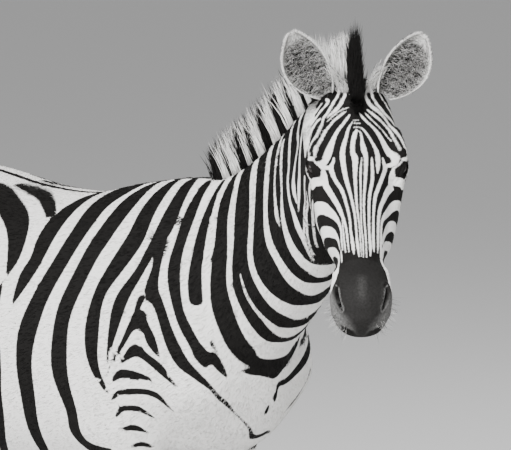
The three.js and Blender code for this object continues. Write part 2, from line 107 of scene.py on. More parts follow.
# The CAD origin is under the middle of the whole; the eye tells where the trunk's frame lies in it.
eye_low, eye_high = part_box("eye_left")
TRUNK_AT = np.array((eye_low + eye_high) / 2) / MM - on_head(*EYE_AT)


def to_metres(p):
    return (np.asarray(p) + TRUNK_AT) * MM


# ---- The flesh as one smooth field, negative inside ----
def catmull_rom(stations, t):
    """Uniform Catmull-Rom values at t from 0 to 1, with the ends run on straight."""
    rows = np.asarray(stations, float)
    rows = np.vstack([2 * rows[0] - rows[1], rows, 2 * rows[-1] - rows[-2]])
    place = np.clip(t, 0, 1) * (len(rows) - 3)
    i = np.minimum(place.astype(int), len(rows) - 4)
    w = (place - i)[:, None]
    a, b, c, d = (rows[i + k] for k in range(4))
    slope_b, slope_c = (c - a) / 2, (d - b) / 2
    return ((2 * b - 2 * c + slope_b + slope_c) * w + 3 * (c - b) - 2 * slope_b - slope_c) * w * w \
        + slope_b * w + b


class Mass:
    """Sections [point, half width, above, below, lean] along a smooth spine."""

    def __init__(self, stations, up=(0, 0, 1), cap=20, blend=30, power=2):
        t = np.linspace(0, 1, 5 * (len(stations) - 1) + 1)
        points = [s[0] for s in stations]
        self.at = catmull_rom(points, t)
        self.tangent = unit(catmull_rom(points, t + 1e-4) - catmull_rom(points, t - 1e-4))
        self.side = unit(np.cross(self.tangent, up))
        self.top = np.cross(self.side, self.tangent)
        sizes = [list(s[1:]) + [0] * (5 - len(s)) for s in stations]
        self.wide, self.above, self.below, self.lean = catmull_rom(sizes, t).T
        self.cap, self.blend, self.power = cap, blend, power
        reach = np.maximum(self.wide, np.maximum(self.above, self.below))[:, None]
        self.low, self.high = (self.at - reach).min(0), (self.at + reach).max(0)
        self.run = np.diff(self.at, axis=0)
        self.length = np.concatenate([[0], np.cumsum(np.linalg.norm(self.run, axis=1))])

    def place(self, p):
        """For each point: its span, how far through it, and its offsets to side, top and along."""
        base = p @ self.run.T - (self.at[:-1] * self.run).sum(1)
        size = (self.run ** 2).sum(1)
        t = np.clip(base / size, 0, 1)
        gap = -2 * (p @ self.at[:-1].T) + (self.at[:-1] ** 2).sum(1) - 2 * t * base + t * t * size
        i = gap.argmin(1)
        t = t[np.arange(len(p)), i]
        offset = p - self.at[i] - t[:, None] * self.run[i]
        mix = lambda rows: (offset * rows[i]).sum(1) * (1 - t) + (offset * rows[i + 1]).sum(1) * t
        return i, t, mix(self.side), mix(self.top), mix(self.tangent)

    def distance(self, p):
        away = np.linalg.norm(np.maximum(np.maximum(self.low - p, p - self.high), 0), axis=1)
        out = away.copy()
        close = away <= 150
        if not close.any():
            return out
        i, t, u, v, w = self.place(p[close])
        mix = lambda row: row[i] + (row[i + 1] - row[i]) * t
        tall = np.where(v > 0, mix(self.above), mix(self.below))
        rise = np.clip(v / tall, -1, 1)
        wide = mix(self.wide) * (1 + mix(self.lean) * rise)
        flat = np.abs(u / wide) ** self.power + np.abs(v / tall) ** self.power
        r = np.hypot(flat ** (1 / self.power), w / self.cap)
        size = np.sqrt(u * u + v * v + w * w)
        out[close] = np.where(r < 1e-6, -np.minimum(wide, tall), size * (1 - 1 / np.maximum(r, 1e-6)))
        return out


def ramp(v, low, high):
    """0 below low, 1 above high, smooth between."""
    t = np.clip((v - low) / (high - low), 0, 1)
    return t * t * (3 - 2 * t)


def smooth_min(a, b, k):
    h = np.maximum(k - np.abs(a - b), 0) / k
    return np.minimum(a, b) - h * h * k / 4


FORWARD = (1, 0, 0)
trunk = [
    Mass([
        [(-640, 0, 1075), 95, 110, 120, 0],
        [(-560, 0, 1065), 165, 195, 200, -0.05],
        [(-430, 0, 1045), 215, 256, 270, -0.08],
        [(-240, 0, 1010), 252, 286, 300, -0.1],
        [(-40, 0, 985), 278, 282, 325, -0.12],
        [(150, 0, 985), 262, 280, 320, -0.16],
        [(300, 0, 1000), 218, 298, 305, -0.25],
        [(410, 0, 1000), 178, 305, 280, -0.3],
        [(500, 0, 980), 140, 240, 235, -0.25],
    ], cap=70, blend=60, power=2.15),
    Mass([[(440, 0, 930), 165, 150, 160], [(505, 0, 925), 150, 140, 150]], cap=95, blend=70),  # breast
    *[Mass([  # shoulder blade down to the point of the shoulder
        [(360, q * 74, 1190), 44, 50, 70], [(400, q * 108, 1100), 56, 85, 110],
        [(465, q * 126, 990), 60, 82, 110], [(492, q * 130, 915), 58, 72, 95],
    ], FORWARD, cap=50, blend=70) for q in (-1, 1)],
    *[Mass([  # upper arm muscle, ending at the elbow
        [(335, q * 135, 1060), 60, 80, 80], [(322, q * 158, 940), 66, 100, 85],
        [(318, q * 166, 840), 56, 90, 72],
    ], FORWARD, cap=60, blend=55) for q in (-1, 1)],
    *[Mass([  # rump over the hip
        [(-430, q * 90, 1200), 95, 110, 100], [(-520, q * 105, 1130), 105, 130, 100],
        [(-590, q * 95, 1020), 95, 110, 80],
    ], FORWARD, cap=60, blend=70) for q in (-1, 1)],
]


def foreleg(q, step):
    return [Mass([
        [(335, q * 150, 900), 64, 92, 80],
        [(338, q * 156, 800), 58, 84, 78],
        [(352 + step * 0.3, q * 150, 715), 49, 64, 62],
        [(368 + step * 0.5, q * 141, 600), 39, 47, 46],
        [(376 + step * 0.7, q * 133, 490), 31, 35, 33],
        [(380 + step * 0.8, q * 130, 420), 34, 35, 33],
        [(378 + step * 0.85, q * 129, 360), 26, 25, 29],
        [(376 + step * 0.9, q * LEG_OUT, 270), 20, 20, 25],
        [(376 + step, q * LEG_OUT, 195), 22, 22, 28],
        [(382 + step, q * LEG_OUT, 155), 27, 27, 34],
        [(402 + step, q * LEG_OUT, 112), 24, 24, 26],
        [(424 + step, q * LEG_OUT, 62), 31, 33, 36],
        [(434 + step, q * LEG_OUT, 36), 33, 35, 37],
    ], FORWARD, cap=12, blend=45)]


def hindleg(q, step):
    return [
        Mass([
            [(-490, q * 128, 1060), 92, 150, 120],
            [(-462, q * 150, 950), 90, 150, 160],
            [(-448, q * 160, 850), 74, 122, 150],
            [(-468, q * 158, 750), 58, 88, 100],
            [(-520 + step * 0.4, q * 150, 650), 44, 58, 66],
            [(-578 + step * 0.7, q * 142, 565), 33, 40, 46],
            [(-606 + step * 0.9, q * 137, 500), 31, 36, 40],
            [(-612 + step, q * 134, 430), 27, 30, 33],
            [(-610 + step, q * 131, 330), 21, 23, 27],
            [(-608 + step, q * 130, 235), 22, 23, 27],
            [(-600 + step, q * 130, 168), 27, 28, 34],
            [(-580 + step, q * 130, 118), 24, 25, 27],
            [(-558 + step, q * 130, 64), 31, 33, 36],
            [(-548 + step, q * 130, 38), 33, 35, 37],
        ], FORWARD, cap=12, blend=70),
        Mass([  # heel bone and its tendon
            [(-590 + step * 0.8, q * 140, 610), 10, 14, 14],
            [(-628 + step * 0.9, q * 138, 565), 13, 18, 18],
            [(-646 + step * 0.95, q * 136, 515), 18, 22, 22],
            [(-636 + step, q * 134, 450), 15, 18, 18],
        ], FORWARD, cap=16, blend=28),
    ]


neck = Mass([
    [(330, 0, 1070), 135, 185, 200, -0.2],
    [(450, -4, 1120), 122, 178, 215, -0.3],
    [(590, -26, 1195), 96, 166, 185, -0.35],
    [(720, -70, 1285), 80, 158, 150, -0.35],
    [(820, -118, 1378), 72, 142, 122, -0.3],
    [(880, -160, 1450), 70, 108, 100, -0.2],
], cap=40, blend=60)

SKULL = [  # along the face, top line, depth, half width
    [-28, -35, 85, 48], [18, -6, 155, 72], [75, 3, 205, 85], [135, 6, 222, 87], [188, 4, 205, 78],
    [245, 0, 170, 69], [305, -3, 138, 56], [360, -5, 120, 48], [405, -7, 110, 50],
    [440, -12, 104, 50], [470, -26, 88, 44],
]
head = [
    Mass([[on_head(s, 0, top - deep / 2), wide, deep / 2, deep / 2, 0.12] for s, top, deep, wide in SKULL],
         BROW, cap=22, blend=20, power=2.3),
    *[Mass([  # cheek muscle
        [on_head(90, q * 54, -130), 26, 62, 66], [on_head(165, q * 62, -122), 26, 56, 60],
        [on_head(232, q * 57, -104), 23, 40, 44], [on_head(285, q * 46, -88), 16, 26, 30],
    ], BROW, cap=50, blend=30) for q in (-1, 1)],
    *[Mass([  # bony rim over the eye, running forward as the cheek's ridge
        [on_head(95, q * 74, -30), 14, 16, 22], [on_head(142, q * 84, -20), 14, 12, 12],
        [on_head(188, q * 80, -50), 12, 14, 15], [on_head(240, q * 65, -66), 12, 14, 16],
        [on_head(300, q * 50, -76), 10, 14, 16],
    ], BROW, cap=16, blend=26) for q in (-1, 1)],
    *[Mass([  # nostril wing
        [on_head(392, q * 36, -34), 18, 18, 22], [on_head(428, q * 42, -48), 18, 22, 24],
        [on_head(452, q * 42, -66), 16, 20, 20],
    ], BROW, cap=16, blend=24) for q in (-1, 1)],
    Mass([[on_head(400, 0, -90), 44, 26, 22], [on_head(455, 0, -84), 46, 28, 22],  # lips
          [on_head(478, 0, -72), 42, 30, 26]], BROW, cap=20, blend=20),
    Mass([[on_head(390, 0, -108), 34, 18, 16], [on_head(440, 0, -112), 36, 18, 18]],  # chin
         BROW, cap=24, blend=20),
]
LEGS = {}
for side, q in SIDES.items():
    LEGS["fore_" + side] = foreleg(q, STRIDE["fore_" + side])
    LEGS["hind_" + side] = hindleg(q, STRIDE["hind_" + side])
dock = Mass([[(-640, 0, 1190), 34, 34, 34], [(-690, 0, 1160), 30, 30, 30], [(-728, 0, 1090), 25, 24, 24],
             [(-742, 0, 980), 20, 19, 19], [(-742, 0, 870), 17, 16, 16]], FORWARD, cap=8)
FLESH = [*trunk, neck, *head, *[mass for masses in LEGS.values() for mass in masses], dock]
SKIN_FLOOR = 61  # the skin ends inside the hooves


# ---- Lids, nostrils and mouth, carved into the field ----
LID = {"over": 2.4, "long": 17.5, "up": 9.5, "down": 9, "deep": 8}
GAZE = unit(np.array([0.34, 0.8, 0.46]))  # the eye looks down the face, outward and up from it
CORNERS = unit(np.array([1, 0, 0.05]) - GAZE * (GAZE @ (1, 0, 0.05)))  # from the back corner to the front
LIDWARD = np.cross(CORNERS, GAZE)
LIDWARD = LIDWARD * np.sign(LIDWARD[2])  # from the lower lid to the upper
NOSTRIL = [(46, 419, 0.5), (50, 424, 2), (51.5, 434, 3.2), (51, 446, 3.4), (49.5, 456, 2.6), (47, 462, 0.8)]
NOSTRIL_RIM = [(50, 418, 0.8), (45.5, 425, 1.3), (45.2, 436, 1.4), (46, 447, 1.5), (44.6, 455, 1.5),
               (43.6, 461, 1.5), (47.5, 467, 1.2), (54, 466, 0.8)]  # round the face and down it


def from_eye(s, u, v):
    """How far each place on the head lies from the nearer eye, and along, above and ahead of it."""
    away = np.stack([s, np.abs(u), v], 1) - EYE_AT
    return np.linalg.norm(away, axis=1), away @ CORNERS, away @ LIDWARD, away @ GAZE


def round_face(u, v):
    """How far round the face from its middle to its left, in mm at its usual radius."""
    return np.arctan2(u, v + 95) * 85


def over_mouth(s, v):
    """Height over the mouth's line."""
    return v - np.interp(s, [395, 430, 490], [-101, -101, -107])


def stroke_segments(points):
    rows = catmull_rom(points, np.linspace(0, 1, 4 * (len(points) - 1) + 1))
    return rows[:-1], rows[1:]


def strokes(x, y, lines):
    """How deep inside the nearest of these strokes each point lies, negative outside, in mm."""
    best = np.full(len(x), -60.0)
    for line in lines:
        starts, ends = stroke_segments(line)
        rows = np.asarray(line, float)
        low, high = rows[:, :2].min(0) - 45, rows[:, :2].max(0) + 45
        near = np.nonzero((x > low[0]) & (x < high[0]) & (y > low[1]) & (y < high[1]))[0]
        px, py = x[near], y[near]
        inside = np.full(len(near), -60.0)
        for a, b in zip(starts, ends):
            dx, dy = b[0] - a[0], b[1] - a[1]
            t = np.clip(((px - a[0]) * dx + (py - a[1]) * dy) / (dx * dx + dy * dy + 1e-6), 0, 1)
            gap = np.hypot(px - a[0] - t * dx, py - a[1] - t * dy)
            inside = np.maximum(inside, a[2] + t * (b[2] - a[2]) - gap)
        best[near] = np.maximum(best[near], inside)
    return best


def carve_head(d, p, cut):
    """Lids over the eyeballs, and as cut goes from 0 to 1 the slit, nostrils, mouth and folds of skin."""
    s, u, v = head_place(p)
    close = np.nonzero((s > 90) & (s < 520) & (v > -150))[0]
    s, u, v = s[close], np.abs(u[close]), v[close]
    reach, along, across, ahead = from_eye(s, u, v)
    lids = reach - EYE["radius"] - LID["over"] - COAT
    here = smooth_min(d[close], lids, 14)
    ease = 1 - (along / LID["long"]) ** 2
    slit = np.where(across > 0, LID["up"], LID["down"]) * np.clip(ease, 0, 1) ** 0.7 - np.abs(across)
    slit = np.where((np.abs(along) < LID["long"]) & (ahead > 0) & (reach < 40), slit, -9)
    cuts = LID["deep"] * np.clip((slit + 0.6) / 1.6, 0, 1)
    facing = (ahead > 0) * ramp(40 - reach, 0, 8)
    for height, depth in ((9.5, 1.8), (14.5, 1.1)):
        fold = across - np.clip(ease, -1.2, 1) * 5 - height
        cuts = cuts + depth * np.exp(-(fold / 1.9) ** 2) * facing
    fold = across + np.clip(ease, -1.2, 1) * 4 + 12
    cuts = cuts + 1.2 * np.exp(-(fold / 1.8) ** 2) * facing
    slot = strokes(round_face(u, v), s, [NOSTRIL])
    cuts = cuts + 11 * ramp(slot, -1.6, 2.4) - 2.2 * np.exp(-((slot + 5.5) / 2.8) ** 2)
    mouth = over_mouth(s, v)
    cuts = cuts + 3.6 * np.exp(-(mouth / 2.4) ** 2) * ramp(s, 390, 408)
    cuts = cuts + 3 * ramp(-mouth, -1, 5) * ramp(s, 440, 465)
    out = d.copy()
    out[close] = here + cut * cuts
    return out


def field(p, cut=1):
    d = np.full(len(p), 1e6)
    for mass in FLESH:
        d = smooth_min(d, mass.distance(p), mass.blend)
    return np.maximum(carve_head(d, p, cut), SKIN_FLOOR - p[:, 2])


def from_skull(p):
    """Distance from the skull with its cheeks and brow rims, without nostrils, lips or chin."""
    return np.min([mass.distance(p) for mass in head[:5]], axis=0)


def slope(p, cut, step=0.5):
    d = field(p, cut)
    return d, np.stack([(field(p + np.eye(3)[k] * step, cut) - d) / step for k in range(3)], 1)


def settle(p, depth, rounds=3, cut=1, limit=8):
    """Moves points on to the surface that lies depth under the field's own."""
    for _ in range(rounds):
        d, g = slope(p, cut)
        size = np.maximum((g ** 2).sum(1), 0.3)
        p = p - g * np.clip((d + depth) / size, -limit, limit)[:, None]
    return p


# ---- Skin: the flesh nodes fused, refined and settled on the field ----
def coords(mesh):
    flat = np.empty(3 * len(mesh.vertices))
    mesh.vertices.foreach_get("co", flat)
    return flat.reshape(-1, 3) / MM - TRUNK_AT


def set_coords(mesh, p):
    mesh.vertices.foreach_set("co", to_metres(p).ravel())
    mesh.update()


def lay(mesh, depth, **how):
    """Settles a mesh on the surface that lies depth under the field's own."""
    set_coords(mesh, settle(coords(mesh), depth, **how))


def add_object(name, data):
    added = bpy.data.objects.new(name, data)
    bpy.context.scene.collection.objects.link(added)
    return added


@contextmanager
def opened(mesh):
    """The mesh as a BMesh, written back at the end."""
    bm = bmesh.new()
    bm.from_mesh(mesh)
    yield bm
    bm.to_mesh(mesh)
    bm.free()


def fused(nodes, voxel):
    """One closed mesh round the CAD nodes."""
    joined = bmesh.new()
    for node in nodes:
        joined.from_mesh(frame["nodes"][node].data)
    mesh = bpy.data.meshes.new("skin")
    joined.to_mesh(mesh)
    joined.free()
    source = add_object("skin", mesh)
    remesh = source.modifiers.new("fuse", "REMESH")
    remesh.mode = "VOXEL"
    remesh.voxel_size = voxel * MM
    source.data = bpy.data.meshes.new_from_object(
        source.evaluated_get(bpy.context.evaluated_depsgraph_get()))
    source.modifiers.clear()
    return source


def refine(mesh, chosen):
    """Splits the faces whose centres are chosen in four."""
    with opened(mesh) as bm:
        centres = np.array([f.calc_center_median() for f in bm.faces]) / MM - TRUNK_AT
        edges = {e for f, take in zip(bm.faces, chosen(centres)) if take for e in f.edges}
        bmesh.ops.subdivide_edges(bm, edges=list(edges), cuts=1, use_grid_fill=True)


def near_head(p):
    s, u, v = head_place(p)
    return (s > -25) & (v > -235) & (np.abs(u) < 150)


# ---- Markings: tapered strokes in charts of the skin, (place, place, half width) ----
SIDE_DARK = [  # along the trunk, height: shoulder, barrel and upper foreleg
    [(-60, 1264, 2), (25, 1252, 5), (75, 1236, 8), (100, 1225, 8)],
    [(-120, 1268, 6), (-40, 1243, 12), (20, 1218, 17), (62, 1185, 19), (80, 1150, 16), (78, 1108, 2)],
    [(72, 1092, 3), (72, 1060, 9), (84, 950, 16), (90, 900, 14), (76, 800, 14), (45, 715, 8), (20, 660, 1)],
    [(150, 1272, 8), (133, 1215, 22), (136, 1150, 15), (125, 1110, 16), (113, 1052, 1)],
    [(262, 1292, 8), (212, 1258, 23), (203, 1200, 19), (180, 1100, 17), (157, 1000, 20), (161, 900, 17),
     (165, 800, 15), (160, 715, 7), (150, 665, 1)],
    [(305, 1300, 6), (281, 1250, 22), (252, 1150, 18), (232, 1050, 17), (236, 950, 17), (261, 860, 13),
     (264, 810, 14), (290, 784, 11), (350, 787, 2)],
    [(352, 1306, 8), (346, 1275, 17), (350, 1210, 22), (324, 1148, 20), (303, 1080, 16), (304, 1000, 16),
     (322, 948, 11), (351, 905, 3)],
    [(399, 1300, 15), (405, 1220, 16), (385, 1150, 11), (362, 1080, 15), (350, 1020, 10), (350, 958, 1)],
    [(406, 1200, 15), (417, 1160, 9), (420, 1108, 14), (441, 1080, 10.5), (477, 1020, 12), (508, 980, 12),
     (540, 950, 7), (565, 915, 3), (567, 870, 1)],
    [(404, 1092, 7), (400, 1068, 6), (405, 1052, 16), (389, 1030, 8), (373, 990, 5), (351, 938, 1)],
    [(405, 1052, 14), (424, 1030, 9), (437, 1010, 11), (452, 990, 6), (460, 981, 1)],
    [(444, 1305, 10), (444, 1250, 13), (448, 1200, 11), (458, 1140, 13), (483, 1080, 10.5), (506, 1040, 10),
     (530, 1007, 9), (545, 992, 14), (558, 970, 9), (575, 942, 1)],
    [(484, 1318, 5), (487, 1250, 11), (501, 1150, 15), (515, 1100, 13), (530, 1060, 10), (548, 1020, 7),
     (563, 980, 4), (575, 943, 1)],
    [(377, 960, 1), (385, 970, 5), (405, 988, 12), (426, 978, 8), (463, 957, 10), (481, 942, 6),
     (511, 918, 1)],
    [(361, 927, 2), (378, 942, 8), (400, 942, 8), (434, 934, 4), (445, 926, 1)],
    [(362, 890, 3), (380, 906, 6), (425, 907, 6), (458, 897, 6), (484, 873, 1)],
    [(371, 854, 3), (382, 870, 6), (410, 871, 6), (430, 858, 3), (443, 842, 1)],
    [(379, 827, 3), (402, 832, 6), (420, 822, 1.5)],
    [(388, 793, 2), (406, 799, 5), (415, 794, 4)],
]
BREAST_DARK = [  # to the left, height: the front of the chest
    [(-120, 1084, 8), (-90, 1066, 9), (-60, 1048, 8), (-30, 1033, 8), (0, 1027, 6), (50, 1030, 7),
     (100, 1062, 8), (125, 1086, 8)],
    [(-130, 1090, 1), (-118, 1070, 3), (-90, 1042, 5), (-60, 1015, 6), (-30, 1001, 6), (-5, 994, 7),
     (30, 989, 4), (90, 990, 4), (130, 1002, 6), (150, 1030, 10)],
    [(-5, 986, 2), (10, 978, 4), (50, 977, 4), (110, 985, 3), (140, 992, 2)],
    [(-132, 1060, 12), (-122, 1025, 14), (-100, 1001, 12), (-80, 991, 8), (-62, 981, 6), (-40, 965, 2)],
    [(-138, 1010, 12), (-118, 986, 14), (-98, 966, 10), (-75, 952, 8), (-50, 945, 6), (-30, 938, 5),
     (-12, 936, 7), (3, 940, 2)],
    [(-150, 985, 10), (-136, 960, 7), (-127, 946, 3)],
    [(-190, 985, 8), (-178, 955, 5), (-160, 928, 4), (-140, 905, 4), (-120, 890, 4), (-90, 865, 1.5),
     (-60, 842, 2), (-40, 826, 3), (-22, 808, 5), (0, 805, 5), (22, 810, 5), (42, 807, 1)],
    [(160, 985, 11), (145, 972, 11), (120, 955, 11), (90, 940, 10), (60, 928, 9), (30, 918, 7), (8, 915, 6),
     (4, 904, 4)],
    [(4, 900, 3), (2, 890, 7), (3, 882, 4)],
    [(-12, 872, 3), (-14, 862, 5), (-15, 854, 3)],
    [(58, 847, 1), (80, 860, 3.5), (100, 871, 4), (124, 896, 2), (140, 925, 4)],
]
# Flank and haunch stripes pass evenly from the first of these to the last.
HAUNCH_FIRST = [(-50, 660, 1), (-15, 760, 14), (-10, 900, 19), (-40, 1040, 22), (-160, 1160, 22),
                (-340, 1228, 20), (-500, 1246, 14), (-640, 1230, 8)]
HAUNCH_LAST = [(-325, 700, 3), (-365, 738, 12), (-420, 765, 16), (-478, 782, 18), (-540, 796, 18),
               (-600, 812, 17), (-665, 832, 14), (-740, 852, 10)]
HAUNCH_STRIPES = 8
NECK_WHITE = [  # along the neck, and how far round it from throat to crest
    [(320, 140, 10.5), (320, 100, 10.5), (313, 50, 12.5), (303, 0, 10), (273, -50, 8.5), (257, -100, 10.5),
     (232, -150, 12)],
    [(313, -53, 2), (304, -85, 4), (296, -125, 5), (280, -150, 9)],
    [(384, 140, 12), (393, 100, 14), (397, 50, 12), (386, 0, 10), (359, -50, 9.5), (351, -100, 10.5),
     (346, -150, 18)],
    [(456, 140, 12), (461, 100, 11.5), (459, 50, 11.5), (448, 0, 8.5), (437, -50, 11), (433, -100, 10),
     (412, -150, 12)],
    [(512, 140, 7), (509, 100, 6), (502, 50, 4), (495, 0, 5.5), (490, -30, 8), (488, -58, 1)],
    [(532, 110, 6), (535, 50, 6), (530, 0, 4.5), (510, -50, 7.5), (487, -100, 9.5), (462, -150, 11)],
    [(572, 140, 6), (576, 110, 7), (583, 65, 7.5), (580, 25, 5.5), (567, 0, 6), (555, -50, 5),
     (549, -75, 7),
     (535, -100, 7.5), (520, -118, 4), (497, -136, 1)],
    [(608, 140, 5), (624, 100, 5.5), (633, 70, 6.5), (647, 42, 8), (650, 20, 8), (625, 3, 7), (597, -22, 9),
     (585, -45, 8.5), (577, -72, 3)],
    [(700, 30, 7), (668, -22, 8), (640, -48, 9), (610, -60, 8), (585, -75, 4), (565, -86, 1.5)],
    [(706, 98, 3), (706, 60, 4), (706, 30, 4), (706, -20, 4), (702, -42, 4), (697, -60, 5)],
    [(660, -92, 6), (620, -93, 3), (590, -96, 2.2), (550, -110, 2), (515, -122, 1.6), (487, -139, 1)],
    [(640, -112, 4), (592, -104, 2.2), (560, -113, 2), (525, -126, 1.6), (500, -138, 1)],
    [(660, -130, 6), (600, -118, 2.5), (565, -125, 2), (520, -138, 1)],
]
NECK_ROUND = 150  # how far round the neck's chart puts its throat and its crest
NECK_FROM = 330  # along the trunk, where the neck's chart begins
NECK_ROOT = [(281, 140), (262, 100), (251, 50), (230, 0), (211, -50), (202, -100), (190, -150)]
NECK_ROOT_WHITE = [(*p, w) for p, w in zip(NECK_ROOT, (7, 8.5, 10, 11, 7, 6.5, 5))]
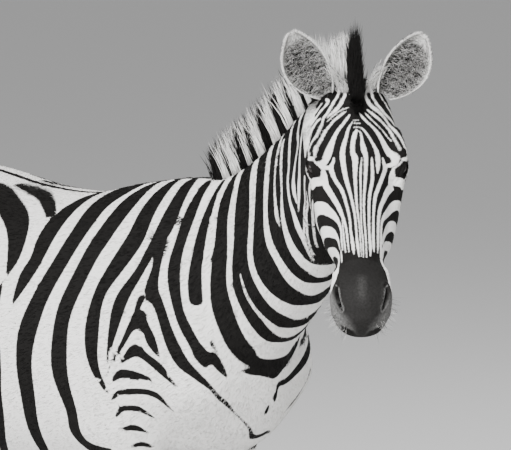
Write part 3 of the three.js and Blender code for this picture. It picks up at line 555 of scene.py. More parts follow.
FACE_WHITE = [  # round the face from its middle to its left, and down the face
    [(-2, 100, 1.5), (-5, 110, 3.5), (-9, 130, 3.6), (-9.5, 150, 3.8), (-6, 163, 5), (-7, 200, 3),
     (-5.5, 260, 1.7), (-2, 300, 1.2), (-1, 335, 1.1), (0, 364, 0.6)],
    [(-1, 101, 1), (5, 108, 1.5), (7, 130, 3), (9, 143, 4.6), (12.5, 160, 3.4), (11.5, 200, 2.6),
     (8, 240, 1.9), (7.2, 280, 1.7), (9.3, 330, 1.5), (9.5, 370, 0.8)],
    [(5.5, 160, 0.6), (3, 190, 1.8), (2.2, 230, 1.3), (1.6, 300, 1.1), (3.5, 330, 1.3), (3.8, 370, 0.7)],
    [(23, 158, 0.8), (23.3, 170, 2.2), (24.3, 200, 2.8), (18, 240, 2.5), (16.2, 280, 2), (16.2, 320, 2),
     (17.5, 345, 2.6), (17, 362, 0.8)],
    [(-6, 94, 1.6), (4, 94, 1.6), (11, 101, 1.8), (18, 115, 2), (24.4, 130, 2.4), (32.8, 150, 4),
     (34.4, 172, 3.8), (33.7, 188, 1)],
    [(43.5, 155, 1.5), (46, 163, 3), (49.5, 174, 4.5), (45.6, 190, 3.7), (34.7, 220, 3.4), (28.8, 240, 3),
     (25, 280, 2.1), (24, 320, 2.7), (24.4, 340, 2.5), (25, 352, 0.8)],
    [(66, 172, 4), (71, 188, 9), (69, 203, 7.5), (57, 220, 6.5), (47.5, 240, 4.4), (39.4, 260, 3.8),
     (35.3, 290, 3), (34.5, 330, 2.8), (33.5, 352, 1)],
    [(185, 330, 4), (165, 285, 7), (140, 252, 9), (112, 236, 9), (85, 236, 9), (61, 261, 7), (48, 277, 4),
     (43.5, 292, 2.3), (43, 320, 3), (43.5, 345, 3.5), (45, 362, 5), (51, 382, 8), (58, 402, 7),
     (62, 414, 7), (72, 422, 3)],
    [(160, 350, 4), (145, 310, 7), (122, 283, 9), (88, 277, 10), (66, 291, 8), (53, 312, 4), (49, 327, 3)],
    [(138, 365, 4), (126, 332, 6), (105, 315, 8), (70, 322, 8), (56, 334, 6), (48, 352, 6)],
    [(5, 60, 1), (11, 70, 2.3), (26, 90, 2.6), (38, 110, 4), (47, 130, 5.4), (54, 141, 6), (61, 150, 4),
     (62, 163, 4), (50, 169, 3)],
    [(16, 60, 1), (24, 70, 1.6), (41, 90, 1.4), (57, 117, 0.7)],
    [(21, 52, 1.5), (30, 60, 3), (42.5, 70, 3), (51.5, 80, 2.5), (57.5, 100, 1.5), (65, 138, 0.8)],
    [(24, 0, 3), (19, 16, 3), (27, 40, 4), (40, 50, 4), (52, 60, 3.5), (60, 71, 2.8), (61, 88, 2),
     (68, 109, 2.5), (71, 138, 1.2)],
    [(38, -8, 3), (34, 14, 3), (38, 30, 3), (55, 50, 3.5), (70, 58, 3.5), (100, 66, 5),
     (150, 72, 7), (260, 60, 7)],
    [(-8.4, 80, 1), (-15, 95, 2.1), (-20.6, 120, 2.9), (-26.5, 145, 4.2), (-27, 165, 4.3),
     (-23.5, 200, 3.6),
     (-15.5, 240, 2.4), (-9.6, 280, 1.7), (-7.8, 320, 1.7), (-6.2, 342, 2.4), (-4.5, 364, 0.8)],
    [(-43, 155, 1.5), (-44, 162, 2.8), (-50, 175, 4.6), (-43.4, 200, 3.3), (-33.5, 220, 3),
     (-27.5, 240, 2.7),
     (-20, 280, 2), (-18.3, 310, 1.9), (-15, 342, 2.9), (-14, 358, 1)],
    [(-66, 165, 5), (-69, 188, 7.5), (-66, 203, 6.5), (-47.5, 240, 4.8), (-38.8, 260, 4), (-32.4, 280, 2.8),
     (-27.5, 300, 1.9), (-25.6, 320, 1.9), (-23.3, 352, 1)],
    [(-33.5, 286, 1), (-33, 310, 1.3), (-31, 340, 1.6), (-30.5, 352, 0.7)],
    [(-190, 330, 4), (-168, 285, 8), (-142, 254, 10), (-115, 240, 12), (-85, 242, 12), (-66, 256, 9),
     (-47.5, 277, 5), (-38.5, 300, 1.9), (-37.6, 330, 1.8), (-36.6, 346, 0.8)],
    [(-162, 355, 4), (-148, 318, 8), (-125, 295, 10), (-100, 287, 11), (-80, 291, 10), (-62, 301, 8.5),
     (-48, 318, 3), (-43.5, 341, 0.8)],
    [(-140, 370, 4), (-128, 342, 6), (-105, 326, 8), (-72, 333, 8), (-56, 345, 6), (-50, 354, 3.5),
     (-47.5, 370, 2.2), (-45.5, 382, 2), (-50, 394, 6), (-59, 405, 8), (-68, 416, 8), (-76, 424, 3)],
    [(-41, 345, 1.5), (-40.5, 358, 1.8), (-39.5, 371, 0.8)], [(-61, 372, 1), (-62, 386, 4), (-56, 393, 4)],
    [(-13, 63, 0.8), (-17, 70, 2.5), (-29, 90, 3), (-39, 110, 3.6), (-50, 140, 6.6), (-54, 150, 5.5),
     (-57, 158, 4), (-63, 168, 4), (-52, 173, 3)],
    [(-20, 56, 1), (-26, 60, 2.3), (-38.5, 70, 2.9), (-48, 80, 2.7), (-56, 100, 1.8), (-62, 125, 1.2),
     (-64, 131, 1.3), (-65, 137, 1.8), (-66, 143, 1.5), (-68, 149, 2), (-70, 154, 2.5)],
    [(-14, 47, 0.7), (-30, 52, 1), (-42, 60, 1.5), (-56, 71, 0.8)],
    [(-24, 0, 3), (-22, 16, 3), (-32, 40, 4), (-40, 50, 3.4), (-50, 57, 2.7), (-57, 62, 0.8)],
    [(-38, -8, 3), (-36, 12, 3), (-44, 30, 3), (-56, 50, 3.2), (-66, 60, 3.2), (-66, 72, 2.8),
     (-62, 88, 1.7),
     (-66, 110, 1.8), (-69, 118, 1.5), (-71.5, 126, 1.4), (-74, 134, 2), (-76, 144, 2.4), (-76, 152, 2.5)],
    [(-66, 15, 2.5), (-60, 20, 3), (-57, 26, 3.5), (-63, 32, 3.5), (-72, 37, 3.5), (-85, 40, 4),
     (-100, 45, 4.5),
     (-108, 50, 5), (-130, 58, 6), (-180, 66, 7), (-260, 56, 7)],
    [(-74, 57, 2), (-90, 57, 4.5), (-100, 65, 4.5), (-109, 76, 4), (-118, 88, 3.5), (-128, 98, 4),
     (-150, 108, 6),
     (-195, 125, 8), (-240, 168, 7), (-266, 230, 4)],
    [(-78, 21, 3), (-92, 20, 6), (-104, 25, 6), (-111, 36, 5), (-112, 50, 4), (-117, 66, 3.5),
     (-122, 80, 3)],
    [(-77, 80, 2), (-80, 92, 4), (-80, 106, 3), (-78, 118, 1.5)],
    [(-128, 10, 4), (-127, 40, 4), (-123, 63, 4), (-122, 81, 4), (-126, 95, 4), (-131, 110, 5),
     (-140, 130, 5)],
    [(-107, 96, 1.5), (-111, 105, 4), (-116, 120, 4), (-121, 134, 2)],
    [(74, 80, 3), (92, 84, 7), (140, 98, 8), (195, 120, 8), (240, 165, 7), (266, 230, 4)],
    [(56, 0, 3), (58, 16, 3), (70, 32, 3), (86, 42, 4), (104, 46, 5), (150, 52, 7), (260, 42, 7)],
    [(-7, 76, 0.9), (3, 76, 0.9)],
    [(-5, 83.5, 1), (5, 83.5, 1)],
]
for q in (-1, 1):  # under the eye, and the cheek behind it
    FACE_WHITE += [
        [(q * 68, 186, 4), (q * 80, 193, 5), (q * 94, 196, 5), (q * 108, 192, 2)],
        [(q * 108, 205, 4), (q * 140, 214, 8), (q * 172, 240, 8), (q * 196, 280, 6), (q * 212, 330, 3)],
        [(q * 114, 162, 3), (q * 145, 176, 8), (q * 185, 205, 8), (q * 212, 250, 7), (q * 232, 310, 4)],
        [(q * 80, 124, 2), (q * 100, 124, 5), (q * 145, 138, 8), (q * 190, 162, 8), (q * 226, 210, 7),
         (q * 255, 280, 4)],
    ]
MUZZLE_DARK = [  # the whole end of the nose, and the lips and chin
    [(-38, 382, 5), (0, 400, 34), (38, 385, 4)], [(-44, 412, 7), (0, 412, 40), (44, 412, 7)],
    [(-72, 456, 26), (0, 450, 50), (72, 456, 26)],
    [(-260, 430, 60), (-150, 440, 55), (-80, 458, 28)], [(260, 430, 60), (150, 440, 55), (80, 458, 28)],
]
EYE_WHITE = [  # along the lids from the back corner to the front, and up from them
    [(-45, 51, 3), (-30, 44, 4.5), (-18, 38, 5.5), (-7, 31, 5), (4, 26.5, 3)],
    [(2, 42, 2), (10, 41, 2.5), (17, 36, 3.2), (21, 32, 4), (14, 27, 4), (4, 25.5, 2)],
    [(18, 32, 4), (30, 35, 4.3), (45, 40, 4), (62, 46, 3)],
    [(10, 24.5, 1.6), (20, 20, 3.5), (31, 15, 7), (45, 16, 6.5), (62, 25, 5)],
    [(33, 12, 8), (29, -2, 8), (34, -10, 4)],
    [(-10, 19, 0.8), (3, 20.6, 1.3), (12, 24, 2)],
    [(-60, 26, 3), (-47, 21, 2), (-36, 20, 2), (-32, 15, 2.5), (-27, 14, 3)],
    [(-27, 14, 2.5), (-22, 11.5, 2.5), (-16, 12, 3.5), (-13, 16, 3.5), (-11, 20, 2.5)],
    [(-12, -9, 0.8), (3, -10.5, 1.2), (14, -8, 1.6), (24, -9, 5), (34, -10, 6)],
]
EYE_REGION = 50  # how far from the eye its own chart holds


def haunch_stripes():
    first, last = np.array(HAUNCH_FIRST, float), np.array(HAUNCH_LAST, float)
    return [first + (last - first) * k / (HAUNCH_STRIPES - 1) for k in range(HAUNCH_STRIPES)]


def waves(x, y, size, seed):
    """Gentle, smooth irregularity between about -1 and 1."""
    turn = np.random.default_rng(seed).uniform(0, 2 * math.pi, 4)
    return (np.sin(x / size + turn[0]) * np.cos(y / size * 1.3 + turn[1])
            + np.sin((x + y) / size * 0.61 + turn[2]) * np.cos((x - y) / size * 0.8 + turn[3])) / 2


LEG_LEVELS = [60, 200, 420, 800]
RING_STEP, RING_COUNT = [24, 25, 34, 58], [0, 5.6, 13.4, 21.7]  # at these levels, counted from the hoof


def leg_rings(x, y, z):
    """Bars round the lower legs, closer and thinner towards the hoof."""
    hind = x < -150
    slant = np.where(hind, 0.16, 0.1) * (x - np.where(hind, -560, 380))
    level = z + slant + 7 * waves(x, z, 34, 3) + np.where(y > 0, 11, 0)
    step = np.interp(level, LEG_LEVELS, RING_STEP)
    turns = np.interp(level, LEG_LEVELS, RING_COUNT)
    inner = ramp(LEG_OUT - 8 - np.abs(y), 0, 24) * ramp(z, 240, 500)
    wave = np.cos(2 * math.pi * turns) * 0.5 + 0.06 - 0.34 * inner
    return wave * step / 2


def trunk_ink(x, y, z):
    shift = ramp(y, 20, 160)  # the left side isn't quite the right side's mirror image
    sx = x + shift * 13 * waves(x, z, 95, 11) + 3 * waves(x, z, 28, 12)
    sz = z + shift * 15 * waves(x, z, 110, 13) + 3 * waves(x, z, 31, 14)
    dark = strokes(sx, sz, SIDE_DARK + haunch_stripes())
    in_front = ramp(x, 488, 520) * ramp(-z, -1092, -1072) * ramp(z, 770, 800) * ramp(165 - np.abs(y), 0, 15)
    dark = dark * (1 - in_front) + strokes(y, z, BREAST_DARK) * in_front
    dark = dark - 22 * ramp(-z, -700, -640) * (x < 200)
    spine = 9 - np.abs(y + 3 * np.sin(x / 60))
    dark = np.where(z > 1100, np.maximum(dark, spine), dark)
    on_dock = ramp(-x, 668, 690) * (z > 800)
    dock_rings = (np.cos(2 * math.pi * (z + 0.5 * x) / 46) * 0.5 + 0.1) * 22
    dark = dark * (1 - on_dock) + np.maximum(dock_rings, 7 - np.abs(y)) * on_dock
    belly = 13 + 3 * np.sin(x / 50) - np.abs(y)
    dark = np.where((z < 760) & (x > -420) & (x < 430), np.maximum(dark, belly), dark)
    low = np.where(x < -150, 782, 775)
    rings = leg_rings(x, y, z)
    on_leg = ramp(-z, -low - 14, -low + 14) * ramp(np.abs(y), 55, 80)
    on_leg = on_leg * ramp(np.abs(x - 20), 250, 290)
    return dark * (1 - on_leg) + np.where(on_leg > 0.5, np.maximum(rings, -20), rings) * on_leg


def on_nose(a, s):
    return ramp(strokes(a, s, MUZZLE_DARK), -1, 1)


def nose_grey(a, s, v):
    """How much grey lies over the nose's black: on its pad, a streak down it, the lips and nostrils, with
    painted shade halving the lips' grey below the mouth's line.
    """
    side = np.abs(a)
    start = np.interp(s, [425, 440, 468, 490], [54, 52, 36, 6])
    fade = np.interp(s, [440, 468, 490], [14, 30, 64])
    lips = 0.23 * ramp((side - start) / fade, 0, 1) * ramp(s, 405, 425)
    # Painted shade under the upper lip: the lips' grey is halved below the mouth's line.
    lips = lips * (1 - 0.5 * ramp(-over_mouth(s, v), -2, 3))
    pad = 0.008 + 0.012 * ramp(s, 385, 450)
    streak = 0.035 * np.exp(-((a + 1) / 9) ** 2) * ramp(s, 396, 412) * ramp(-s, -470, -435)
    rim = 0.22 * ramp(strokes(side, s, [NOSTRIL_RIM]), -1.6, 0.8)
    hollow = ramp(strokes(side, s, [NOSTRIL]), -1.5, 1)
    return np.maximum(np.maximum(lips, rim), pad + streak) * (1 - hollow)


def face_ink(a, s):
    nose = on_nose(a, s)
    return -strokes(a, s, FACE_WHITE) * (1 - nose) + 3 * nose


def ink(p):
    """How deep each point lies in a dark marking, in mm, negative in the pale ones."""
    x, y, z = p.T
    body = trunk_ink(x, y, z)
    i, t, u, v, _ = neck.place(p)
    mix = lambda row: row[i] + (row[i + 1] - row[i]) * t
    along = mix(neck.length)
    r = NECK_ROUND * v / np.where(v > 0, mix(neck.above), mix(neck.below))
    along = along + 6 * waves(along, r + 400 * (u > 0), 60, 21) * ramp(-u, 0, 40)
    root = np.array(NECK_ROOT, float)[::-1]
    past_root = along - np.interp(r, root[:, 1], root[:, 0])
    bands = -strokes(along, r, NECK_WHITE)
    at_root = -strokes(along, r, [NECK_ROOT_WHITE])
    throat = ramp(-r, 140, 152) * 8
    value = np.where(past_root > 0, np.minimum(bands - throat, at_root), np.minimum(body, at_root))
    value = np.where(x < NECK_FROM, body, value)
    s, u, v = head_place(p)
    a = round_face(u, v)
    head_part = ramp(neck.distance(p) - from_skull(p), -6, 10)
    face = face_ink(a, s)
    reach, lengthways, upwards, ahead = from_eye(s, u, v)
    by_eye = (ramp(-reach, -EYE_REGION, 3 - EYE_REGION) * ramp(upwards, -24, -12) * ramp(ahead, -26, -14)
              * ramp(-upwards, -24, -20) * (np.abs(u) > 30))
    face = face * (1 - by_eye) - strokes(lengthways, upwards, EYE_WHITE) * by_eye
    return value * (1 - head_part) + face * head_part


def grey(p):
    """The share of grey over the markings, only on the nose."""
    s, u, v = head_place(p)
    share = np.zeros(len(p))
    near = near_head(p) & (s > 370)
    a = round_face(u[near], v[near])
    share[near] = on_nose(a, s[near]) * nose_grey(a, s[near], v[near])
    return share


# ---- The skin's mesh: coarse first, then split where its shape or its markings are fine ----
def near_face(p):
    return near_head(p) & (head_place(p)[2] > -160)


def near_eyes(p):
    return near_head(p) & (from_eye(*head_place(p))[0] < 62)


def near_features(p):
    """The eyes, nostrils and mouth, where the finest folds are."""
    s, u, v = head_place(p)
    reach, _, _, ahead = from_eye(s, u, v)
    eye = (reach < 42) & (ahead > -4)
    nostril = strokes(round_face(np.abs(u), v), s, [NOSTRIL]) > -12
    mouth = (np.abs(over_mouth(s, v)) < 8) & (s > 390)
    return near_head(p) & (eye | nostril | mouth)


def near_rims(p):
    """The lids' edges and the nostrils' slots, finest of all."""
    s, u, v = head_place(p)
    reach, along, above, ahead = from_eye(s, u, v)
    lid = (reach < 30) & (np.abs(along) < 20) & (np.abs(above) < 13) & (ahead > 0)
    return near_head(p) & (lid | (strokes(round_face(np.abs(u), v), s, [NOSTRIL]) > -4.5))


def near_stripes(p):
    """The fine lines of the forehead and nose."""
    s, u, v = head_place(p)
    fine = near_head(p) & (s > 25) & (s < 372) & (np.abs(round_face(u, v)) < 60) & (v > -90)
    fine[fine] = np.abs(ink(p[fine])) < 2.4
    return fine


def near_edges(p, within, thin):
    """Where a marking's edge or a thin stroke needs a finer mesh to show."""
    value = ink(p)
    return (np.abs(value) < within) | ((value > 0) & (value < thin))


def unwrap(piece, scale, corner=(0, 0)):
    """Unwraps the piece's own shape in islands, over the part of the map from corner on, in scale."""
    bpy.ops.object.select_all(action="DESELECT")
    piece.data.uv_layers.new(name="OFBake")
    piece.select_set(True)
    bpy.context.view_layer.objects.active = piece
    bpy.ops.object.mode_set(mode="EDIT")
    bpy.ops.mesh.select_all(action="SELECT")
    bpy.ops.uv.smart_project(angle_limit=math.radians(70), island_margin=0.004)
    bpy.ops.object.mode_set(mode="OBJECT")
    layer = piece.data.uv_layers["OFBake"].data
    spots = np.empty(2 * len(layer), np.float32)
    layer.foreach_get("uv", spots)
    spots = spots.reshape(-1, 2) * scale + np.array(corner)
    layer.foreach_set("uv", spots.astype(np.float32).ravel())


def relax(mesh, chosen, rounds):
    """Spaces the chosen vertices evenly."""
    with opened(mesh) as bm:
        places = np.array([v.co for v in bm.verts]) / MM - TRUNK_AT
        picked = [v for v, take in zip(bm.verts, chosen(places)) if take]
        for _ in range(rounds):
            bmesh.ops.smooth_vert(bm, verts=picked, factor=0.5,
                                  use_axis_x=True, use_axis_y=True, use_axis_z=True)


def triangulate(mesh):
    with opened(mesh) as bm:
        bmesh.ops.triangulate(bm, faces=bm.faces)


LEG_NODES = ["leg_" + leg for leg in LEGS]
skin = fused(["trunk", "neck", "head", "eye_left", "eye_right", "tail", *LEG_NODES], voxel=16)
lay(skin.data, -12, rounds=4, cut=0)  # from well outside, so that no hollow by the eyes traps it
relax(skin.data, near_eyes, 4)
lay(skin.data, -8, cut=0)
lay(skin.data, COAT, cut=0)
unwrap(skin, 0.92)
refine(skin.data, lambda p: near_head(p) | near_edges(p, np.where(p[:, 2] < 470, 9, 4), 6))
refine(skin.data, lambda p: near_face(p) | ((p[:, 0] > 450) & (p[:, 1] < 60) & near_edges(p, 1, 3))
       | ((p[:, 2] < 215) & near_edges(p, 4, 0)))
refine(skin.data, lambda p: near_features(p) | near_stripes(p))
lay(skin.data, COAT, rounds=2, cut=0)
relax(skin.data, near_eyes, 3)
refine(skin.data, near_rims)
triangulate(skin.data)
lay(skin.data, COAT, cut=0.5)
lay(skin.data, COAT)
skin.data.shade_smooth()


# ---- Materials ----
def material(name, **inputs):
    """A new material with these inputs set, and its shader."""
    m = bpy.data.materials.new(name)
    m.use_nodes = True
    shader = m.node_tree.nodes["Principled BSDF"]
    for key, value in inputs.items():
        shader.inputs[key.replace("_", " ")].default_value = value
    return m, shader


WHITE, GREY, BLACK = (0.83, 0.82, 0.8, 1), (1, 0.99, 0.97, 1), (0.0065, 0.006, 0.0056, 1)
HORN = (0.035, 0.032, 0.03, 1), (0.09, 0.084, 0.08, 1)


def ramp_node(nodes, links, value, low, high, first, second):
    node = nodes.new("ShaderNodeValToRGB")
    node.color_ramp.elements[0].position = low
    node.color_ramp.elements[0].color = first
    node.color_ramp.elements[1].position = high
    node.color_ramp.elements[1].color = second
    links.new(value, node.inputs["Fac"])
    return node.outputs["Color"]


def coat_material():
    """Black and white by the ink attribute, with the nap's fine grain in its colour and bump."""
    m, shader = material("coat", Roughness=0.75, Specular_IOR_Level=0.1)
    nodes, links = m.node_tree.nodes, m.node_tree.links
    mark = nodes.new("ShaderNodeAttribute")
    mark.attribute_name = "ink"
    place = nodes.new("ShaderNodeTexCoord")
    grain = nodes.new("ShaderNodeTexNoise")
    grain.inputs["Scale"].default_value = 260
    grain.inputs["Detail"].default_value = 3
    links.new(place.outputs["Object"], grain.inputs["Vector"])
    sway = nodes.new("ShaderNodeMath")
    sway.operation = "MULTIPLY_ADD"
    sway.inputs[1].default_value = 2.6
    links.new(grain.outputs["Fac"], sway.inputs[0])
    links.new(mark.outputs["Fac"], sway.inputs[2])
    level = nodes.new("ShaderNodeMapRange")
    level.inputs["From Min"].default_value = 0.2
    level.inputs["From Max"].default_value = 2.4
    links.new(sway.outputs[0], level.inputs["Value"])
    dusk = nodes.new("ShaderNodeAttribute")
    dusk.attribute_name = "grey"
    speckled = nodes.new("ShaderNodeMath")
    speckled.operation = "MULTIPLY"
    links.new(dusk.outputs["Fac"], speckled.inputs[0])
    links.new(grain.outputs["Fac"], speckled.inputs[1])
    mix = nodes.new("ShaderNodeMix")
    mix.data_type = "RGBA"
    links.new(speckled.outputs[0], mix.inputs[0])
    links.new(ramp_node(nodes, links, level.outputs["Result"], 0.1, 0.9, WHITE, BLACK), mix.inputs[6])
    mix.inputs[7].default_value = GREY
    links.new(mix.outputs[2], shader.inputs["Base Color"])
    bump = nodes.new("ShaderNodeBump")
    bump.inputs["Strength"].default_value = 0.25
    bump.inputs["Distance"].default_value = 0.002
    links.new(grain.outputs["Fac"], bump.inputs["Height"])
    links.new(bump.outputs["Normal"], shader.inputs["Normal"])
    return m


def set_mark(mesh, name, values):
    attribute = mesh.attributes.new(name, "FLOAT", "POINT")
    attribute.data.foreach_set("value", np.asarray(values, np.float32))


COAT_LOOK = coat_material()
set_mark(skin.data, "ink", ink(coords(skin.data)))
set_mark(skin.data, "grey", grey(coords(skin.data)))
skin.data.materials.clear()
skin.data.materials.append(COAT_LOOK)


# ---- Ears: thin cups of skin, curved as the CAD ones ----
EAR = {"length": 143, "half": 44, "depth": 41, "thick": 6, "along": 6, "out": 55, "deep": 38}
EAR_SPLAY = {"right": 29, "left": 32}
UP = np.array([0, 0, 1.0])


def ear_frame(side):
    q = SIDES[side]
    ahead = unit(np.array([ALONG[0], ALONG[1], 0]))
    out = np.cross(UP, ahead) * q
    splay = math.radians(EAR_SPLAY[side])
    base = on_head(EAR["along"], q * EAR["out"], -EAR["deep"])
    return base, ahead, UP * math.cos(splay) + out * math.sin(splay), \
        out * math.cos(splay) - UP * math.sin(splay)


def ear_width(t):
    return np.sin(math.pi * np.clip(0.06 + 0.935 * t, 0, 1)) ** 0.6


def ear_point(side, t, across, lift):
    """A point on the ear's cup: t from root to tip, across from -1 to 1, lift out of its back."""
    base, ahead, axis, broad = ear_frame(side)
    t, across, lift = np.broadcast_arrays(np.asarray(t, float), across, lift)
    wide = EAR["half"] * ear_width(t) - 2.5
    deep = EAR["depth"] * (1 - t) ** 0.6 * ear_width(t / 2) + 5
    turn = np.radians(118 - 34 * t) * across
    sweep = (wide + lift) * np.sin(turn) + 8 * np.sin(math.pi * t)
    back = 8 + 10 * t - (deep + lift) * np.cos(turn)
    return base + axis * ((EAR["length"] - 3) * t)[..., None] + broad * sweep[..., None] \
        + ahead * back[..., None]


def grid_faces(rows, cols, start=0):
    i = np.arange(rows - 1)[:, None] * cols + np.arange(cols - 1)[None, :] + start
    return np.stack([i, i + 1, i + cols + 1, i + cols], -1).reshape(-1, 4)


def ear_ink(t):
    """The back of the ear: a dark band above the root, and a dark cap under a pale tip."""
    return np.maximum(9 - np.abs(t * 146 - 44), 19 - np.abs(t * 146 - 112))


def ear_mesh(side, rows=44, cols=31):
    """One ear as a closed shell: its marked back, its hollow with painted shade darkest in the middle, and
    the pale rim between.
    """
    t = np.linspace(0, 1, rows)[:, None]
    across = np.linspace(-1, 1, cols)[None, :]
    edge = np.sqrt(np.clip(1 - across ** 6, 0, 1)) * np.sqrt(np.clip(1 - t ** 10, 0, 1))
    back = ear_point(side, t, across, 1.7 * edge)
    hollow = ear_point(side, t, across, -1.7 * edge)
    near_rim = np.maximum(np.abs(across), np.abs(t - 0.4) / 0.6)
    # Painted shade in the hollow: its skin is darkest in the middle and paler towards the rim.
    dusk = 0.9 - 1.1 * ramp(near_rim, 0.35, 0.9)
    marks = [np.where(near_rim > 0.94, -5, inks) for inks in (ear_ink(t), dusk)]
    points = np.concatenate([back.reshape(-1, 3), hollow.reshape(-1, 3)])
    faces = np.concatenate([grid_faces(rows, cols), grid_faces(rows, cols, rows * cols)[:, ::-1]])
    mesh = bpy.data.meshes.new("ear_skin_" + side)
    mesh.from_pydata(to_metres(points), [], faces.tolist())
    set_mark(mesh, "ink", np.concatenate([inks.ravel() for inks in marks]))
    with opened(mesh) as bm:
        bmesh.ops.remove_doubles(bm, verts=bm.verts, dist=0.0002)
        bmesh.ops.holes_fill(bm, edges=bm.edges)
        bmesh.ops.recalc_face_normals(bm, faces=bm.faces)
        bmesh.ops.triangulate(bm, faces=bm.faces)
    return mesh


# ---- Hair: every tuft is a closed, tapered solid, coloured by the marking at its root ----
class Rooting:
    """Random places on the skin, with the face's normal and the unwrap's place there."""

    def __init__(self, mesh):
        mesh.calc_loop_triangles()
        count = len(mesh.loop_triangles)
        corner, loop = np.empty(3 * count, np.int32), np.empty(3 * count, np.int32)
        mesh.loop_triangles.foreach_get("vertices", corner)
        mesh.loop_triangles.foreach_get("loops", loop)
        self.corner, self.loop = corner.reshape(-1, 3), loop.reshape(-1, 3)
        self.place = coords(mesh)
        flat = np.empty(2 * len(mesh.loops), np.float32)
        mesh.uv_layers["OFBake"].data.foreach_get("uv", flat)
        self.uv = flat.reshape(-1, 2)
        a, b, c = (self.place[self.corner[:, k]] for k in range(3))
        cross = np.cross(b - a, c - a)
        self.area = np.linalg.norm(cross, axis=1) / 2
        self.normal = cross / np.maximum(2 * self.area, 1e-9)[:, None]
        self.centre = (a + b + c) / 3
        self.search = None

    def scatter(self, count, weight):
        """Roots spread over the skin as thickly as weight says at each face."""
        chance = self.area * weight
        face = rng.choice(len(chance), count, p=chance / chance.sum())
        mix = rng.dirichlet((1, 1, 1), count)
        return self.at(face, mix)

    def nearest(self, points):
        """The skin's places nearest to these points."""
        if self.search is None:
            self.search = KDTree(len(self.centre))
            for k, centre in enumerate(self.centre):
                self.search.insert(centre, k)
            self.search.balance()
        face = np.array([self.search.find(p)[1] for p in points])
        return self.at(face, np.full((len(points), 3), 1 / 3))

    def at(self, face, mix):
        point = (self.place[self.corner[face]] * mix[:, :, None]).sum(1)
        uv = (self.uv[self.loop[face]] * mix[:, :, None]).sum(1)
        return point, self.normal[face], uv


TUFT_PATCH = 0.0015  # radius of the map that a whole tuft takes, round the place of its root


def tufts(name, root, along, bend, length, width, root_ink, tip_ink, uv, rings=3, fade=2.2):
    """A mesh of three-sided tufts; ring k stands at root + along * t + bend * t squared, in mm."""
    count, sides, flat = len(root), 3, 0.55
    length, width = np.broadcast_to(length, count), np.broadcast_to(width, count)
    along, side = unit(along), np.cross(along, rng.normal(size=(count, 3)))
    side = unit(side)
    other = np.cross(along, side)
    rows, inks = [], []
    for k in range(rings):
        t = k / rings
        centre = root + (along * t + bend * t * t) * length[:, None]
        thick = (width / 2 * (1 - t) ** 0.6)[:, None]
        for j in range(sides):
            angle = 2 * math.pi * j / sides
            rows.append(centre + thick * (side * math.cos(angle) + other * math.sin(angle) * flat))
            inks.append(root_ink + (tip_ink - root_ink) * t ** fade)
    rows.append(root + (along + bend) * length[:, None])
    inks.append(tip_ink + np.zeros(count))
    each = sides * rings + 1
    points = np.stack(rows, 1).reshape(-1, 3)
    pattern = [[j, (j + 1) % sides, (j + 1) % sides + sides, j + sides] for j in range(sides)]
    quads = np.array([[c + sides * k for c in quad] for k in range(rings - 1) for quad in pattern])
    last = sides * (rings - 1)
    caps = [[last + j, last + (j + 1) % sides, each - 1] for j in range(sides)] + [list(range(sides))[::-1]]
    triangles = [[q[0], q[1], q[2]] for q in quads] + [[q[0], q[2], q[3]] for q in quads] + caps
    faces = (np.array(triangles)[None] + each * np.arange(count)[:, None, None]).reshape(-1, 3)
    mesh = bpy.data.meshes.new(name)
    mesh.vertices.add(len(points))
    mesh.loops.add(faces.size)
    mesh.polygons.add(len(faces))
    mesh.vertices.foreach_set("co", to_metres(points).ravel())
    mesh.loops.foreach_set("vertex_index", faces.ravel().astype(np.int32))
    mesh.polygons.foreach_set("loop_start", np.arange(0, faces.size, 3, dtype=np.int32))
    mesh.update(calc_edges=True)
    mesh.polygons.foreach_set("use_smooth", np.ones(len(faces), bool))
    turn = 2 * math.pi * np.arange(each) / each
    patch = TUFT_PATCH * np.stack([np.cos(turn), np.sin(turn)], 1)
    spots = (uv[:, None, :] + patch[None]).reshape(-1, 2)[faces.ravel()]
    mesh.uv_layers.new(name="OFBake").data.foreach_set("uv", spots.astype(np.float32).ravel())
    set_mark(mesh, "ink", np.stack(inks, 1).reshape(-1))
    piece = add_object(name, mesh)
    mesh.materials.append(COAT_LOOK)
    return piece


def jitter(count, size):
    return rng.normal(size=(count, 3)) * size


def neck_frame(along_knots):
    """Places on the crest line: the point, up out of it, along it and to its side."""
    i = np.clip(along_knots.astype(int), 0, len(neck.at) - 2)
    t = (along_knots - i)[:, None]
    mix = lambda rows: rows[i] * (1 - t) + rows[i + 1] * t
    above = (neck.above[i] * (1 - t[:, 0]) + neck.above[i + 1] * t[:, 0])[:, None]
    top = unit(mix(neck.top))
    return mix(neck.at) + top * above, top, unit(mix(neck.tangent)), unit(mix(neck.side))


MANE_KNOTS, MANE_TALL = [7.7, 9, 12, 15, 18, 21, 24], [62, 84, 90, 90, 94, 102, 110]
MANE_WHITE = [(261, 10), (300, 15), (349, 12), (400, 17), (473, 18), (543, 17), (597, 15), (642, 12),
              (690, 14)]  # along the neck, half width


